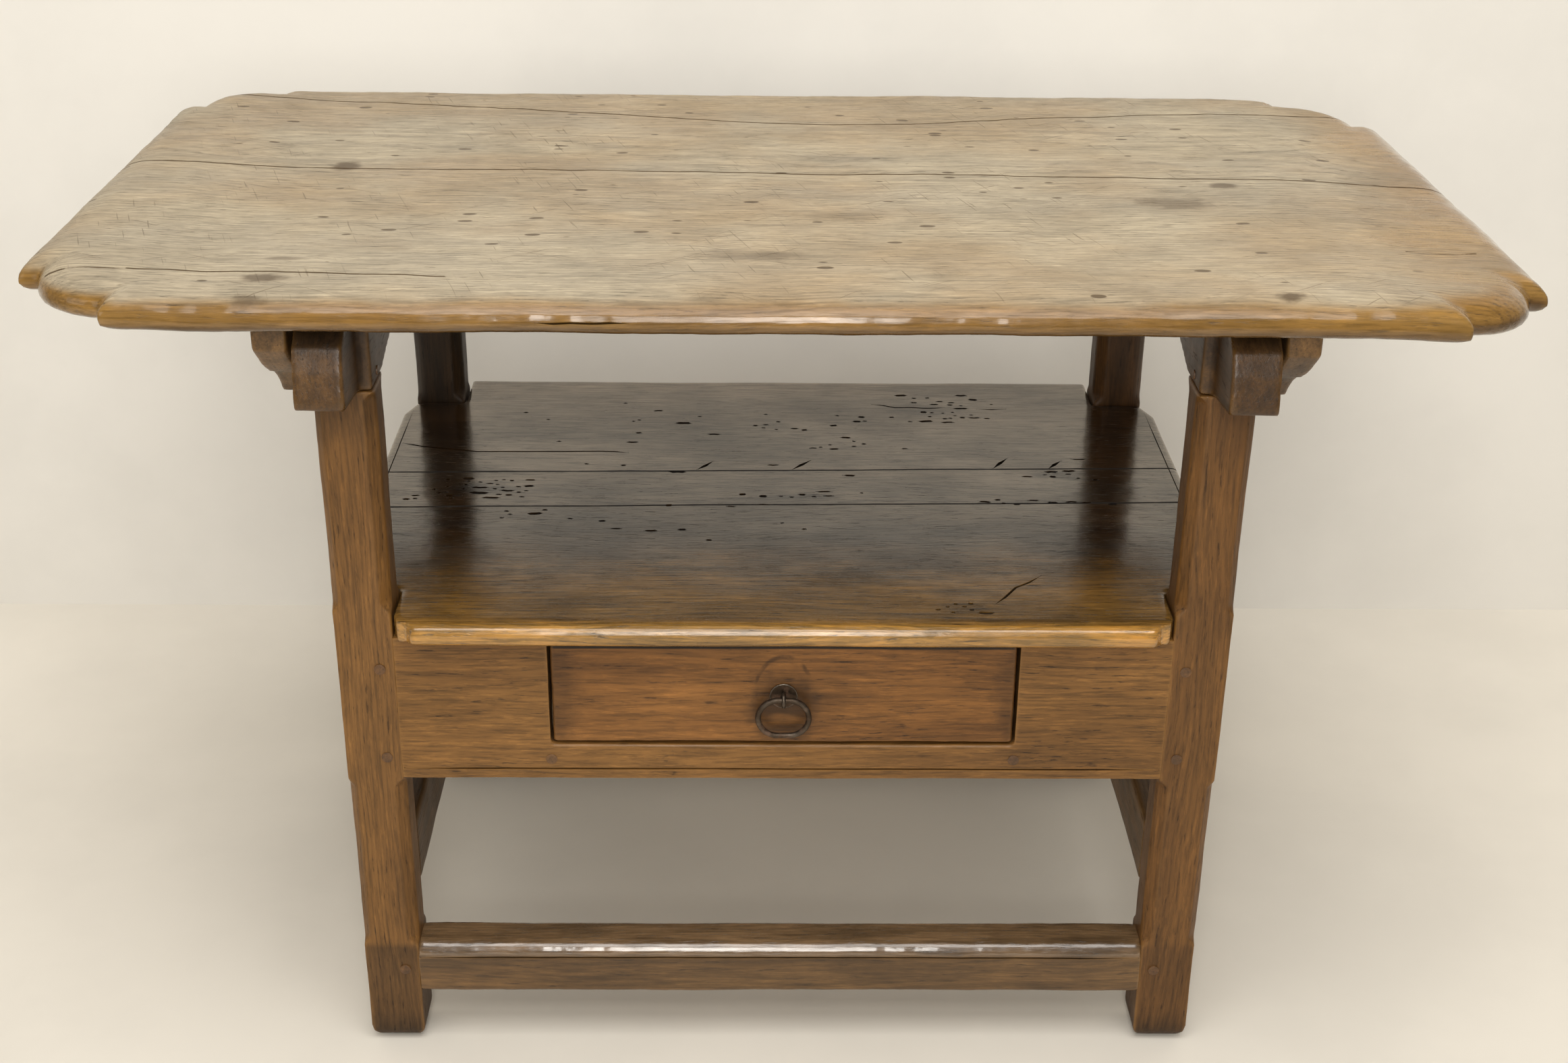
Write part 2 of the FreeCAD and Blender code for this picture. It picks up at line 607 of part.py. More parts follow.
def build():
    os.makedirs("parts", exist_ok=True)

    rails = [front_apron(), back_apron(), front_stretcher(), back_stretcher()]
    rails += both_sides(side_apron()) + both_sides(side_stretcher())
    rail_pegs = front_and_back_pegs((RAIL_BOTTOM + LOWER_PEG, SEAT_UNDER - UPPER_PEG))
    rail_pegs += side_pegs((RAIL_BOTTOM + 2 * LOWER_PEG, SEAT_UNDER - 1.6 * UPPER_PEG))
    stretcher_pegs = front_and_back_pegs((STRETCHER_BOTTOM + STRETCHER_HEIGHT / 2,))
    stretcher_pegs += side_pegs((SIDE_STRETCHER_BOTTOM + SIDE_STRETCHER_HEIGHT / 2,))
    tenon_pegs = arm_pegs()
    bearer_pegs = runner_pegs()
    nails_in_seat = seat_nails()
    nails_in_top = top_nails()
    nails_in_drawer = drawer_nails()
    pegs = rail_pegs + stretcher_pegs

    front_post = bored(post(FRONT_FACE), rails + pegs)
    back_post = bored(post(BACK_POST_FRONT), rails + pegs)
    export_pair("front_post", bored(front_post, tenon_pegs))
    export_pair("back_post", bored(back_post, tenon_pegs))
    posts = [post(FRONT_FACE), post(BACK_POST_FRONT)]
    export_pair("arm", bored(arm(), posts + tenon_pegs + [pivot_pin()]))
    export_pair("pivot_pin", pivot_pin())

    export("front_apron", bored(rails[0], rail_pegs + bearer_pegs + nails_in_seat))
    export("back_apron", bored(rails[1], rail_pegs + nails_in_seat))
    export("front_stretcher", bored(rails[2], stretcher_pegs))
    export("back_stretcher", bored(rails[3], stretcher_pegs))
    export_pair("side_apron", bored(side_apron(), rail_pegs + nails_in_seat))
    export_pair("side_stretcher", bored(side_stretcher(), stretcher_pegs))
    export_group("rail_pegs", rail_pegs)
    export_group("stretcher_pegs", stretcher_pegs)
    export_group("arm_pegs", tenon_pegs)
    export_group("runner_pegs", bearer_pegs)

    seat_names = ("seat_front_plank", "seat_middle_plank", "seat_back_plank")
    for name, plank in zip(seat_names, split_planks(seat_slab(), SEAT_JOINTS, SEAT_UNDER, SEAT_THICK)):
        export(name, bored(plank, nails_in_seat))
    export_group("seat_nails", nails_in_seat)

    top_names = ("top_front_plank", "top_middle_plank", "top_back_plank")
    for name, plank in zip(top_names, split_planks(top_slab(), TOP_JOINTS, TOP_UNDER, TOP_THICK)):
        export(name, bored(plank, nails_in_top))
    export_pair("batten", bored(batten(), nails_in_top))
    export_group("top_nails", nails_in_top)

    export_pair("drawer_runner", bored(runner(), bearer_pegs))
    export_pair("drawer_guide", guide())
    export("drawer_front", bored(drawer_front(), [staple()]))
    export_pair("drawer_side", bored(drawer_side(), nails_in_drawer))
    export("drawer_back", bored(drawer_back(), nails_in_drawer))
    export("drawer_bottom", drawer_bottom())
    export_group("drawer_nails", nails_in_drawer)
    export("ring_staple", staple())
    export("ring_rose", bored(rose(), [staple()]))
    export("ring_pull", ring())


build()
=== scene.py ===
import json
import math
import random

import bpy
import numpy as np
from mathutils import Matrix, Vector

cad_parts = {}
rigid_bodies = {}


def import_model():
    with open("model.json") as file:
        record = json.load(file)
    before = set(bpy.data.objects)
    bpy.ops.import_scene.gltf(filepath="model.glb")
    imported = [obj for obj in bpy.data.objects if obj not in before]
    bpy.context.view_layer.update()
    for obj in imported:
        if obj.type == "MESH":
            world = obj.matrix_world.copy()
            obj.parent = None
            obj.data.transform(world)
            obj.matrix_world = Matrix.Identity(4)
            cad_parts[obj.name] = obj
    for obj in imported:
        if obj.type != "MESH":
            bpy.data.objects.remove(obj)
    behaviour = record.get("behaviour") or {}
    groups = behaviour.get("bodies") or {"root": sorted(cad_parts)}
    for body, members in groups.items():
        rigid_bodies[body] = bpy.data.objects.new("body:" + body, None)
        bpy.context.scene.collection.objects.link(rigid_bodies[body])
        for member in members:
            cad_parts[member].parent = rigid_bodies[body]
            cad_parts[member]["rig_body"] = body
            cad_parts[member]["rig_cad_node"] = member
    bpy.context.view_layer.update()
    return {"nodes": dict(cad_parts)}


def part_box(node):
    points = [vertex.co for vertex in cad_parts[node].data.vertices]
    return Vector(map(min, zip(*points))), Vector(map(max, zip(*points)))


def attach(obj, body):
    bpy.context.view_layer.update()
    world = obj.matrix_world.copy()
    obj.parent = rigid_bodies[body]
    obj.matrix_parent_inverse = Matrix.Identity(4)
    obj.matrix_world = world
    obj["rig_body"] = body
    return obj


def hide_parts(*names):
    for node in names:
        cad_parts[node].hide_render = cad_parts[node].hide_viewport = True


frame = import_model()

# Directions, sides, and how near counts as the same place
UP = Vector((0, 0, 1))
TO_FRONT = Vector((0, -1, 0))
SIDES = {"left": -1, "right": 1}
CLOSE = 0.001
SAME_LEVEL = 0.0001

# Heights and faces read from the frame, in metres
FLOOR = 0.0
TABLE_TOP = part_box("top_front_plank")[1].z
TABLE_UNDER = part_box("top_front_plank")[0].z
TOP_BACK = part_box("top_back_plank")[1].y
TOP_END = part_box("top_front_plank")[1].x
SEAT_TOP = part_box("seat_front_plank")[1].z
SEAT_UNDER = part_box("seat_front_plank")[0].z
SEAT_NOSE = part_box("seat_front_plank")[0].y
SEAT_BACK_SPARE = 0.004
SEAT_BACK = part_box("seat_back_plank")[1].y + SEAT_BACK_SPARE
SEAT_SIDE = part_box("seat_front_plank")[1].x
ARM_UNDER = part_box("arm_right")[0].z
FRONT_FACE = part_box("front_post_right")[0].y
BACK_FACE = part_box("back_post_right")[1].y
POST_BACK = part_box("front_post_right")[1].y
BACK_POST_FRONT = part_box("back_post_right")[0].y
POST_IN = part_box("front_post_right")[0].x
POST_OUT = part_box("front_post_right")[1].x
APRON_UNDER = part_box("front_apron")[0].z
STRETCHER_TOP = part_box("front_stretcher")[1].z
DRAWER_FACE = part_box("drawer_front")[0].y
RING_PIVOT = Vector((0.0, -0.2615, 0.371))

# The top: moulded edge, stepped corners, warped ends and swept battens
EDGE_REACH = 0.034
EDGE_RISE = 0.019
EDGE_UNDER_REACH = 0.010
EDGE_UNDER_DROP = 0.009
EDGE_STEPS = 7
BACK_EDGE_SPARED = 0.65
CORNER_LENGTH = 0.084
CORNER_DEPTH = 0.080
CORNER_STEP = 0.019
CORNER_STEPS = 9
PAST_CORNER = 0.02
END_LIFT = 0.005
END_SAG = 0.006
END_BAND = 0.030
END_FADE = 0.15
BATTEN_BAND = 0.022
BATTEN_SWEEP = 0.085
OGEE_SWELL = 0.09
OGEE_UPPER_SHARE = 0.4
OGEE_STEPS = 10

# Joints of the top and the seat, left to right, and how far they stand open
TOP_FRONT_JOINT = [(-0.62, 0.038), (0.62, 0.010)]
TOP_BACK_JOINT = [(-0.62, 0.291), (-0.30, 0.256), (-0.04, 0.205), (0.09, 0.199), (0.24, 0.224), (0.40, 0.248),
                  (0.62, 0.269)]
SEAT_FRONT_JOINT = [(-0.42, -0.041), (0.42, -0.021)]
SEAT_BACK_JOINT = [(-0.42, 0.038), (0.42, 0.058)]
JOINT_GAP = 0.0018
TOP_JOINT_GAP = 0.0007
BEHIND_JOINT = 0.5
JOINT_CUT_BELOW = 0.05
JOINT_CUT_HEIGHT = 0.13

# Cracks and splits: where they run, how wide and deep they open, and how they wander
TOP_CRACKS = [
    [(-0.570, -0.266), (-0.476, -0.259), (-0.398, -0.261), (-0.325, -0.265), (-0.262, -0.268)],
    [(0.500, -0.178), (0.530, -0.182), (0.560, -0.178)],
]
SEAT_CRACKS = [
    [(-0.375, 0.109), (-0.355, 0.104), (-0.299, 0.088), (-0.176, 0.092), (-0.150, 0.089)],
    [(0.178, -0.232), (0.200, -0.200), (0.225, -0.176)],
    [(0.096, 0.219), (0.120, 0.211), (0.150, 0.209), (0.172, 0.211)],
    [(0.205, 0.206), (0.235, 0.208)],
]
SEAT_SPLITS = [
    [(-0.082, 0.047), (-0.066, 0.070)], [(0.010, 0.049), (0.030, 0.074)], [(0.206, 0.054), (0.223, 0.080)],
    [(0.260, 0.055), (0.275, 0.074)],
]
TOP_CRACK_WIDTH = 0.0008
SEAT_CRACK_WIDTH = 0.0025
SEAT_SPLIT_WIDTH = 0.0042
CRACK_DEPTH = 0.0035
CRACK_STEP = 0.03
WANDER = 0.0012
WANDER_TURNS = (190, 90)
SLIT_LIFT = 0.002

# The crack in the front edge of the top
EDGE_CRACK_START = Vector((-0.19, -0.3245, 0.733))
EDGE_CRACK_FACING = Vector((0, -0.75, 0.66))
EDGE_CRACK_STEP = 0.014
EDGE_CRACK_JAG = 0.0006
EDGE_CRACK_POINTS = 6
EDGE_CRACK_WIDTH = 0.0014
EDGE_CRACK_DEPTH = 0.006

# Worm pits of the seat. An eaten place is its middle, its reach along and across, and the pits tried there
SEAT_EATEN = [
    (-0.282, 0.002, 0.042, 0.022, 110), (-0.335, -0.012, 0.020, 0.012, 12), (0.175, 0.200, 0.030, 0.020, 40),
    (0.130, 0.232, 0.075, 0.012, 16), (0.120, 0.178, 0.065, 0.012, 14), (0.000, 0.160, 0.026, 0.012, 12),
    (0.060, 0.115, 0.030, 0.016, 8), (0.020, -0.012, 0.060, 0.012, 14), (0.245, -0.022, 0.070, 0.006, 18),
    (0.270, 0.040, 0.040, 0.012, 14), (0.148, -0.238, 0.022, 0.009, 26), (-0.142, 0.170, 0.010, 0.008, 4),
    (-0.220, -0.056, 0.045, 0.014, 8), (-0.060, -0.070, 0.120, 0.040, 10), (0.000, 0.120, 0.300, 0.110, 26),
]
PIT_CHANCE = 11
PIT_STATIONS = (-1.0, -0.5, 0.0, 0.6, 1.0)
PIT_SHORTEST = 0.0017
PIT_LONGER_BY = 0.0080
PIT_MOSTLY_SHORT = 2.5
PIT_WIDTHS = (0.0024, 0.0052)
PIT_WIDEST_SHARE = 1.3
PIT_DEPTHS = (0.004, 0.006)
PIT_CROOK = 0.1
PIT_APART_ALONG = 0.0012
PIT_APART_ACROSS = 0.0060
CRACK_GUARD = 0.005
CRACK_GUARD_STEP = 0.006

# The seat's moulded nose, its ears beside the posts, and the level face that shows pits
SEAT_CLEARANCE = 0.0005
NOSE_CLEARANCE = 0.003
NOSE_RETURN = [(0.012, 0.0), (0.0115, 0.006), (0.008, 0.0095), (0.0, 0.0115)]
SEAT_NOSE_ROUND = 0.0094
BEAD_DROP = 0.0030
NOSE_STEP = 0.0162
NOSE_STEP_DEPTH = 0.0024
NOSE_QUIRK = 0.0103
NOSE_QUIRK_STEP = 0.05
NOSE_QUIRK_SHARE = 0.7
EAR_SLOPE = 0.030
EAR_ROUND = 0.006
EAR_QUIRK_IN = 0.010
EAR_QUIRK_SHORT = 0.024
EAR_QUIRK_STEP = 0.06
EAR_QUIRK_SHARE = 0.6
SEAT_LEVEL = (Vector((-0.31, -0.25, SEAT_TOP - 0.006)), Vector((0.31, 0.27, SEAT_TOP + 0.001)))

# Posts, arms, rails, drawer and fittings
POST_CHAMFER = 0.010
POST_OUTER_CHAMFER = 0.007
CHAMFER_STOP = 0.008
CHAMFER_RUNS = ((STRETCHER_TOP + CHAMFER_STOP, APRON_UNDER - CHAMFER_STOP),
                (SEAT_TOP + CHAMFER_STOP, ARM_UNDER - CHAMFER_STOP))
FOOT_ROUND = 0.015
ARM_NOSE = [(0.010, 0.006), (0.003, 0.007), (0.0, 0.013), (0.004, 0.038), (0.010, 0.056)]
ARM_NOSE_TOP = 0.031
ARM_NOSE_THINNED = 0.040
ARM_PIVOT = (0.235, 0.678)
ARM_REAR_STEPS = 5
ARM_ARCH = 0.032
ARM_ARCH_STEPS = 14
RAIL_INTO_POST = 0.002
RAIL_EASE = 0.002
QUIRK_WIDTH = 0.0018
QUIRK_DEPTH = 0.0030
QUIRK_PARTS = 12
APRON_BEAD = 0.011
STRETCHER_ROUND = 0.013
STRETCHER_EASE = 0.004
STRETCHER_QUIRK = 0.0135
DRAWER_SIDE_GAP = 0.002
DRAWER_UNDER_GAP = 0.0015
BEARER_EASE = 0.0015
BOARD_ARRIS = 0.0007
PEG_ARRIS = 0.0012
PEG_PROUD = 0.0005
RING_MIDDLE = 0.0012
NAIL_SET = {"top": 0.002, "frame": 0.0013}

# Ageing of each kind of piece: fineness of its mesh, slow waver, small dents, and rounding of its arrises
AGEING = {
    "top": (0.0034, 0.0026, 0.0010, 3),
    "batten": (0.0024, 0.001, 0.0006, 3),
    "seat": (0.0027, 0.0013, 0.00025, 2),
    "post": (0.0021, 0.0016, 0.0006, 2),
    "arm": (0.0025, 0.0014, 0.0007, 3),
    "rail": (0.003, 0.0014, 0.0006, 3),
    "apron": (0.0025, 0.0014, 0.0006, 2),
    "stretcher": (0.0022, 0.0022, 0.0009, 3),
    "drawer": (0.0022, 0.0012, 0.0008, 2),
    "ring": (0.0009, 0.0002, 0.0008, 2),
    "fitting": (0.0007, 0.0002, 0.0005, 2),
    "pin": (0.0016, 0.0003, 0.0006, 2),
}
UNEVEN_MIDDLE = 0.75
SMOOTH_BELOW = math.radians(50)
ARRIS_ABOVE = math.radians(40)
WEAR_SPREAD = 3
GAP_BESIDE = 0.005
SEAM_FADE = 0.02
FAR_AWAY = 9.0
SUNK = 0.0029
SUNK_WEAR = -0.3
TINY = 1e-7

# Work bench: how far a cutter runs past a piece, and small reaches of its tools
PAST = 0.01
WELL_PAST = 0.02
LEVEL_ENOUGH = 0.9
MERGE_REACH = 0.00002
START_SIZE = 0.01

# Room and camera
ROOM_SIZE = 14
WALL_BACK = 0.615
CAMERA_PLACE = Vector((-0.0246, -1.7734, 1.2564))
CAMERA_YAW = 0.0154
CAMERA_PITCH = 0.4476
CAMERA_ROLL = -0.011
CAMERA_LENS = 47.19
CAMERA_SENSOR = 36.0


# Choosing, starting and shaping a piece
def only(piece):
    bpy.ops.object.select_all(action='DESELECT')
    piece.select_set(True)
    bpy.context.view_layer.objects.active = piece


def edit(piece, picked="VERT"):
    only(piece)
    bpy.ops.object.mode_set(mode='EDIT')
    bpy.ops.mesh.select_mode(type=picked)


def edit_all(piece):
    edit(piece)
    bpy.ops.mesh.select_all(action='SELECT')


def done():
    bpy.ops.object.mode_set(mode='OBJECT')


def pick(piece, kind, wanted):
    """Enters edit mode with only the points, edges or faces that are wanted."""
    edit(piece, kind)
    bpy.ops.mesh.select_all(action='DESELECT')
    done()
    mesh = piece.data
    for part in {"VERT": mesh.vertices, "EDGE": mesh.edges, "FACE": mesh.polygons}[kind]:
        part.select = wanted(part)
    bpy.ops.object.mode_set(mode='EDIT')


def started(name):
    """Names the primitive that was added last, and settles its place and size into its mesh."""
    piece = bpy.context.object
    piece.name = name
    bpy.ops.object.transform_apply(location=True, rotation=True, scale=True)
    return piece


def block(name, low, high):
    """A squared timber between two corners."""
    bpy.ops.object.select_all(action='DESELECT')
    bpy.ops.mesh.primitive_cube_add(size=1, location=[(a + b) / 2 for a, b in zip(low, high)])
    bpy.context.object.scale = [b - a for a, b in zip(low, high)]
    return started(name)


def traced(name, outline, thickness):
    """A board sawn to an outline: one corner is drawn out from point to point, filled and thickened."""
    bpy.ops.object.select_all(action='DESELECT')
    bpy.ops.mesh.primitive_plane_add(size=START_SIZE, location=outline[0])
    piece = started(name)
    edit_all(piece)
    bpy.ops.mesh.merge(type='CENTER')
    for start, end in zip(outline, outline[1:]):
        bpy.ops.mesh.extrude_vertices_move(TRANSFORM_OT_translate={"value": end - start})
    bpy.ops.mesh.select_all(action='SELECT')
    bpy.ops.mesh.edge_face_add()
    bpy.ops.mesh.extrude_region_move(TRANSFORM_OT_translate={"value": thickness})
    bpy.ops.mesh.select_all(action='SELECT')
    bpy.ops.mesh.normals_make_consistent(inside=False)
    done()
    return piece


def copy_of(piece, name):
    only(piece)
    bpy.ops.object.duplicate()
    twin = bpy.context.object
    twin.name = name
    return twin


def cad_copy(node, name):
    """A shape taken over from the frame, with its loose faces merged."""
    twin = frame["nodes"][node].copy()
    twin.data = frame["nodes"][node].data.copy()
    twin.name = name
    twin.parent = None
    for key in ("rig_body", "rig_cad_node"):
        del twin[key]
    bpy.context.scene.collection.objects.link(twin)
    edit_all(twin)
    bpy.ops.mesh.remove_doubles(threshold=MERGE_REACH)
    done()
    return twin


def finish_with(piece, kind, **settings):
    only(piece)
    step = piece.modifiers.new(kind.lower(), kind)
    for key, value in settings.items():
        setattr(step, key, value)
    bpy.ops.object.modifier_apply(modifier=step.name)


def break_arrises(piece, width):
    finish_with(piece, 'BEVEL', width=width, segments=2, limit_method='ANGLE', angle_limit=ARRIS_ABOVE)


def carve(piece, cutter, operation='DIFFERENCE'):
    finish_with(piece, 'BOOLEAN', object=cutter, operation=operation, solver='EXACT')
    bpy.data.objects.remove(cutter)


def carve_all(piece, cutters):
    """Joins cutters that don't touch each other and carves with all of them at once."""
    only(cutters[0])
    for cutter in cutters[1:]:
        cutter.select_set(True)
    bpy.ops.object.join()
    carve(piece, cutters[0])


def ease(piece, wanted, width, segments):
    """Rounds the arrises that are wanted for their two ends."""
    pick(piece, "EDGE", lambda edge: wanted(*[piece.data.vertices[end].co for end in edge.vertices]))
    bpy.ops.mesh.bevel(offset=width, segments=segments, affect='EDGES')
    done()


def every_arris(start, end):
    return True


def saw(piece, place, normal, keep_front=None):
    """Cuts along a plane. True keeps only the side that the normal points away from, False only the other."""
    edit_all(piece)
    bpy.ops.mesh.bisect(plane_co=place, plane_no=normal, use_fill=keep_front is not None,
                        clear_outer=keep_front is True, clear_inner=keep_front is False)
    done()


def line_at(points, level=0.0):
    return [Vector((x, y, level)) for x, y in points]


def slit(path, width, depth, face_normal):
    """A cutter for a narrow slit along a crooked line on a face, tapering out at both ends."""
    lift = face_normal * SLIT_LIFT
    outline = [path[0] + lift]
    back = []
    for before, here, after in zip(path, path[1:], path[2:]):
        aside = (after - before).cross(face_normal).normalized() * width / 2
        outline.append(here + aside + lift)
        back.append(here - aside + lift)
    outline += [path[-1] + lift] + back[::-1]
    return traced("slit", outline, face_normal * -(depth + SLIT_LIFT))


def drawn_out(points, step):
    """A crooked line through the points, with a small steady wander between them."""
    path = []
    for start, end in zip(points, points[1:]):
        count = max(2, round((end - start).length / step))
        for i in range(count):
            place = start.lerp(end, i / count)
            place.y += WANDER * math.sin(place.x * WANDER_TURNS[0] + place.y * WANDER_TURNS[1])
            path.append(place)
    return path + [points[-1]]


def crack_lines(cracks, level, step=CRACK_STEP):
    return [drawn_out(line_at(points, level), step) for points in cracks]


def cracks_at(cracks, level, width):
    """Cutters for cracks in a level face."""
    return [slit(line, width, CRACK_DEPTH, UP) for line in crack_lines(cracks, level)]


# Ageing: worn arrises, uneven surfaces, and a note of where each piece is rubbed or hollow
def unevenness(name, size, depth):
    clouds = bpy.data.textures.new(name, 'CLOUDS')
    clouds.noise_scale = size
    clouds.noise_depth = depth
    return clouds


WAVER = unevenness("slow_waver", 0.11, 1)
DENTS = unevenness("small_dents", 0.022, 2)


def age(piece, kind):
    """Rounds the arrises of a piece and makes its faces uneven."""
    voxel, waver, dents, rounding = AGEING[kind]
    finish_with(piece, 'REMESH', mode='VOXEL', voxel_size=voxel)
    finish_with(piece, 'SMOOTH', factor=0.5, iterations=rounding)
    for texture, strength in ((WAVER, waver), (DENTS, dents)):
        finish_with(piece, 'DISPLACE', texture=texture, texture_coords='LOCAL', strength=strength,
                    mid_level=UNEVEN_MIDDLE)
    return piece


def fetched(rows, label, width, kind):
    """Values of a mesh's points or edges as rows of an array."""
    values = np.empty(len(rows) * width, kind)
    rows.foreach_get(label, values)
    return values.reshape(-1, width)


def smooth_and_note_wear(piece, gaps, level_face):
    """Smooth shading, and two attributes: wear is positive on rubbed arrises and negative in hollows, and
    seam rises to 1 at the gaps, which are joints and cracks. Beside the gaps the arrises stay unrubbed.
    Everything sunk into a level face, given as two corners of a box, counts as hollow."""
    only(piece)
    bpy.ops.object.shade_smooth_by_angle(angle=SMOOTH_BELOW)
    mesh = piece.data
    count = len(mesh.vertices)
    places = fetched(mesh.vertices, "co", 3, np.float32)
    normals = fetched(mesh.vertex_normals, "vector", 3, np.float32)
    ends = fetched(mesh.edges, "vertices", 2, np.int32)
    here = np.concatenate([ends[:, 0], ends[:, 1]])
    there = np.concatenate([ends[:, 1], ends[:, 0]])
    step = places[there] - places[here]
    fall = -(step * normals[here]).sum(1) / np.maximum(np.linalg.norm(step, axis=1), TINY)
    neighbours = np.maximum(np.bincount(here, minlength=count), 1)
    worn = np.bincount(here, fall, count) / neighbours
    for _ in range(WEAR_SPREAD):
        worn = 0.5 * worn + 0.5 * np.bincount(here, worn[there], count) / neighbours
    seam = np.zeros(count)
    for gap in gaps:
        along, across = [p[0] for p in gap], [p[1] for p in gap]
        line = np.interp(places[:, 0], along, across, left=FAR_AWAY, right=FAR_AWAY)
        away = np.abs(places[:, 1] - line)
        worn = np.where(away < GAP_BESIDE, np.minimum(worn, 0.0), worn)
        seam = np.maximum(seam, 1.0 - away / SEAM_FADE)
    if level_face:
        low, high = level_face
        inside = ((places > low) & (places < high)).all(1)
        worn = np.where(inside, np.minimum(worn, 0.0), worn)
        worn = np.where(inside & (places[:, 2] < high.z - SUNK), SUNK_WEAR, worn)
    for label, values in (("wear", worn), ("seam", seam)):
        note = mesh.attributes.new(label, 'FLOAT', 'POINT')
        note.data.foreach_set("value", values.astype(np.float32))


def fit(piece, body, material, node, gaps=(), level_face=None):
    """Finishes a shaped piece and hands it to the body that it moves with."""
    smooth_and_note_wear(piece, gaps, level_face)
    piece.data.materials.clear()
    piece.data.materials.append(material)
    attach(piece, body)
    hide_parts(node)


# Finishes: short words for the shader nodes that build them
VECTOR = 'NodeSocketVector'
NUMBER = 'NodeSocketFloat'


class Finish:
    """A node tree, and the steps that build a finish in it. A step gives back what it puts out."""

    def __init__(self, tree):
        self.tree = tree

    def feed(self, sockets, values):
        """Sets or links inputs, by their names or numbers."""
        for key, value in values.items():
            if isinstance(value, bpy.types.NodeSocket):
                self.tree.links.new(value, sockets[key])
            else:
                sockets[key].default_value = value

    def put(self, kind, values=None, **options):
        """Adds a node, and gives back all of its outputs."""
        step = self.tree.nodes.new(kind)
        for key, value in options.items():
            setattr(step, key, value)
        self.feed(step.inputs, values or {})
        return step.outputs

    def sum_of(self, operation, first, second=0.0, third=0.0):
        return self.put('ShaderNodeMath', {0: first, 1: second, 2: third}, operation=operation)[0]

    def times(self, first, second):
        return self.sum_of('MULTIPLY', first, second)

    def plus(self, base, value, by=1.0):
        """A base, and a value multiplied by a number on top of it."""
        return self.sum_of('MULTIPLY_ADD', value, by, base)

    def most(self, first, second):
        return self.sum_of('MAXIMUM', first, second)

    def between(self, value, low, high, at_low=0.0, at_high=1.0):
        """Turns low to high of a value into at_low to at_high, softly."""
        limits = {0: value, 1: low, 2: high, 3: at_low, 4: at_high}
        return self.put('ShaderNodeMapRange', limits, interpolation_type='SMOOTHSTEP')[0]

    def varied(self, amount, *changes):
        """An amount multiplied by each change: a value, its low and high, and the factors at these."""
        for change in changes:
            amount = self.times(amount, self.between(*change))
        return amount

    def vector(self, operation, first, second):
        return self.put('ShaderNodeVectorMath', {0: first, 1: second}, operation=operation)[0]

    def scaled(self, vector, by):
        return self.put('ShaderNodeVectorMath', {0: vector, 3: by}, operation='SCALE')[0]

    def length(self, vector):
        return self.put('ShaderNodeVectorMath', {0: vector}, operation='LENGTH')["Value"]

    def mapped(self, place, **changes):
        """The place turned or stretched."""
        return self.put('ShaderNodeMapping', {"Vector": place} | changes)[0]

    def noise(self, place, stretch, detail=2.0, roughness=0.5, part="Fac"):
        settings = {"Vector": self.mapped(place, Scale=stretch), "Scale": 1.0, "Detail": detail,
                    "Roughness": roughness}
        return self.put('ShaderNodeTexNoise', settings)[part]

    def blended(self, amount, under, over):
        return self.put('ShaderNodeMix', {0: amount, 6: under, 7: over}, data_type='RGBA')[2]

    def group(self, tree, **values):
        return self.put('ShaderNodeGroup', values, node_tree=tree)


def new_group(name, inputs, outputs):
    tree = bpy.data.node_groups.new(name, 'ShaderNodeTree')
    for label, kind in inputs:
        tree.interface.new_socket(label, in_out='INPUT', socket_type=kind)
    for label in outputs:
        tree.interface.new_socket(label, in_out='OUTPUT', socket_type=NUMBER)
    start = tree.nodes.new('NodeGroupInput')
    end = tree.nodes.new('NodeGroupOutput')
    return Finish(tree), start.outputs, end.inputs


def new_material(name):
    """Starts a material: its steps, its shader and the place on the piece."""
    material = bpy.data.materials.new(name)
    material.use_nodes = True
    paint = Finish(material.node_tree)
    shader = material.node_tree.nodes["Principled BSDF"]
    return material, paint, shader, paint.put('ShaderNodeTexCoord')["Object"]


def oak_figure_group():
    """Growth rings, pores, ray flecks, fibres and slow colour drift of oak, with the grain along X."""
    paint, given, out = new_group("oak_figure", [("Place", VECTOR), ("Heart", VECTOR), ("RingWidth", NUMBER)],
                                  ["Drift", "Streak", "Rings", "Pores", "Fleck", "Fibre"])
    place = given["Place"]
    wander = paint.noise(place, (2.2, 7.0, 7.0), part="Color")
    shift = paint.scaled(paint.vector('SUBTRACT', wander, (0.5, 0.5, 0.5)), 0.035)
    bent = paint.vector('ADD', place, shift)
    from_heart = paint.vector('SUBTRACT', bent, given["Heart"])
    radius = paint.length(paint.vector('MULTIPLY', from_heart, (0.04, 1.0, 1.0)))
    ring = paint.sum_of('FRACT', paint.sum_of('DIVIDE', radius, given["RingWidth"]))
    rings = paint.most(paint.between(ring, 0.0, 0.45, 1.0, 0.0), paint.between(ring, 0.86, 1.0))
    dashes = paint.noise(bent, (55.0, 480.0, 480.0), 3.0, 0.6)
    flecks = paint.noise(place, (45.0, 330.0, 330.0), 3.0, 0.65)
    paint.feed(out, {
        "Drift": paint.noise(place, (1.7, 13.0, 13.0), 3.0, 0.55),
        "Streak": paint.noise(bent, (9.0, 75.0, 75.0), 4.0, 0.65),
        "Rings": rings,
        "Pores": paint.varied(1.0, (dashes, 0.55, 0.70), (rings, 0.1, 0.8, 0.45, 1.0)),
        "Fleck": paint.between(flecks, 0.52, 0.68),
        "Fibre": paint.noise(bent, (22.0, 400.0, 400.0), 4.0, 0.7),
    })
    return paint.tree


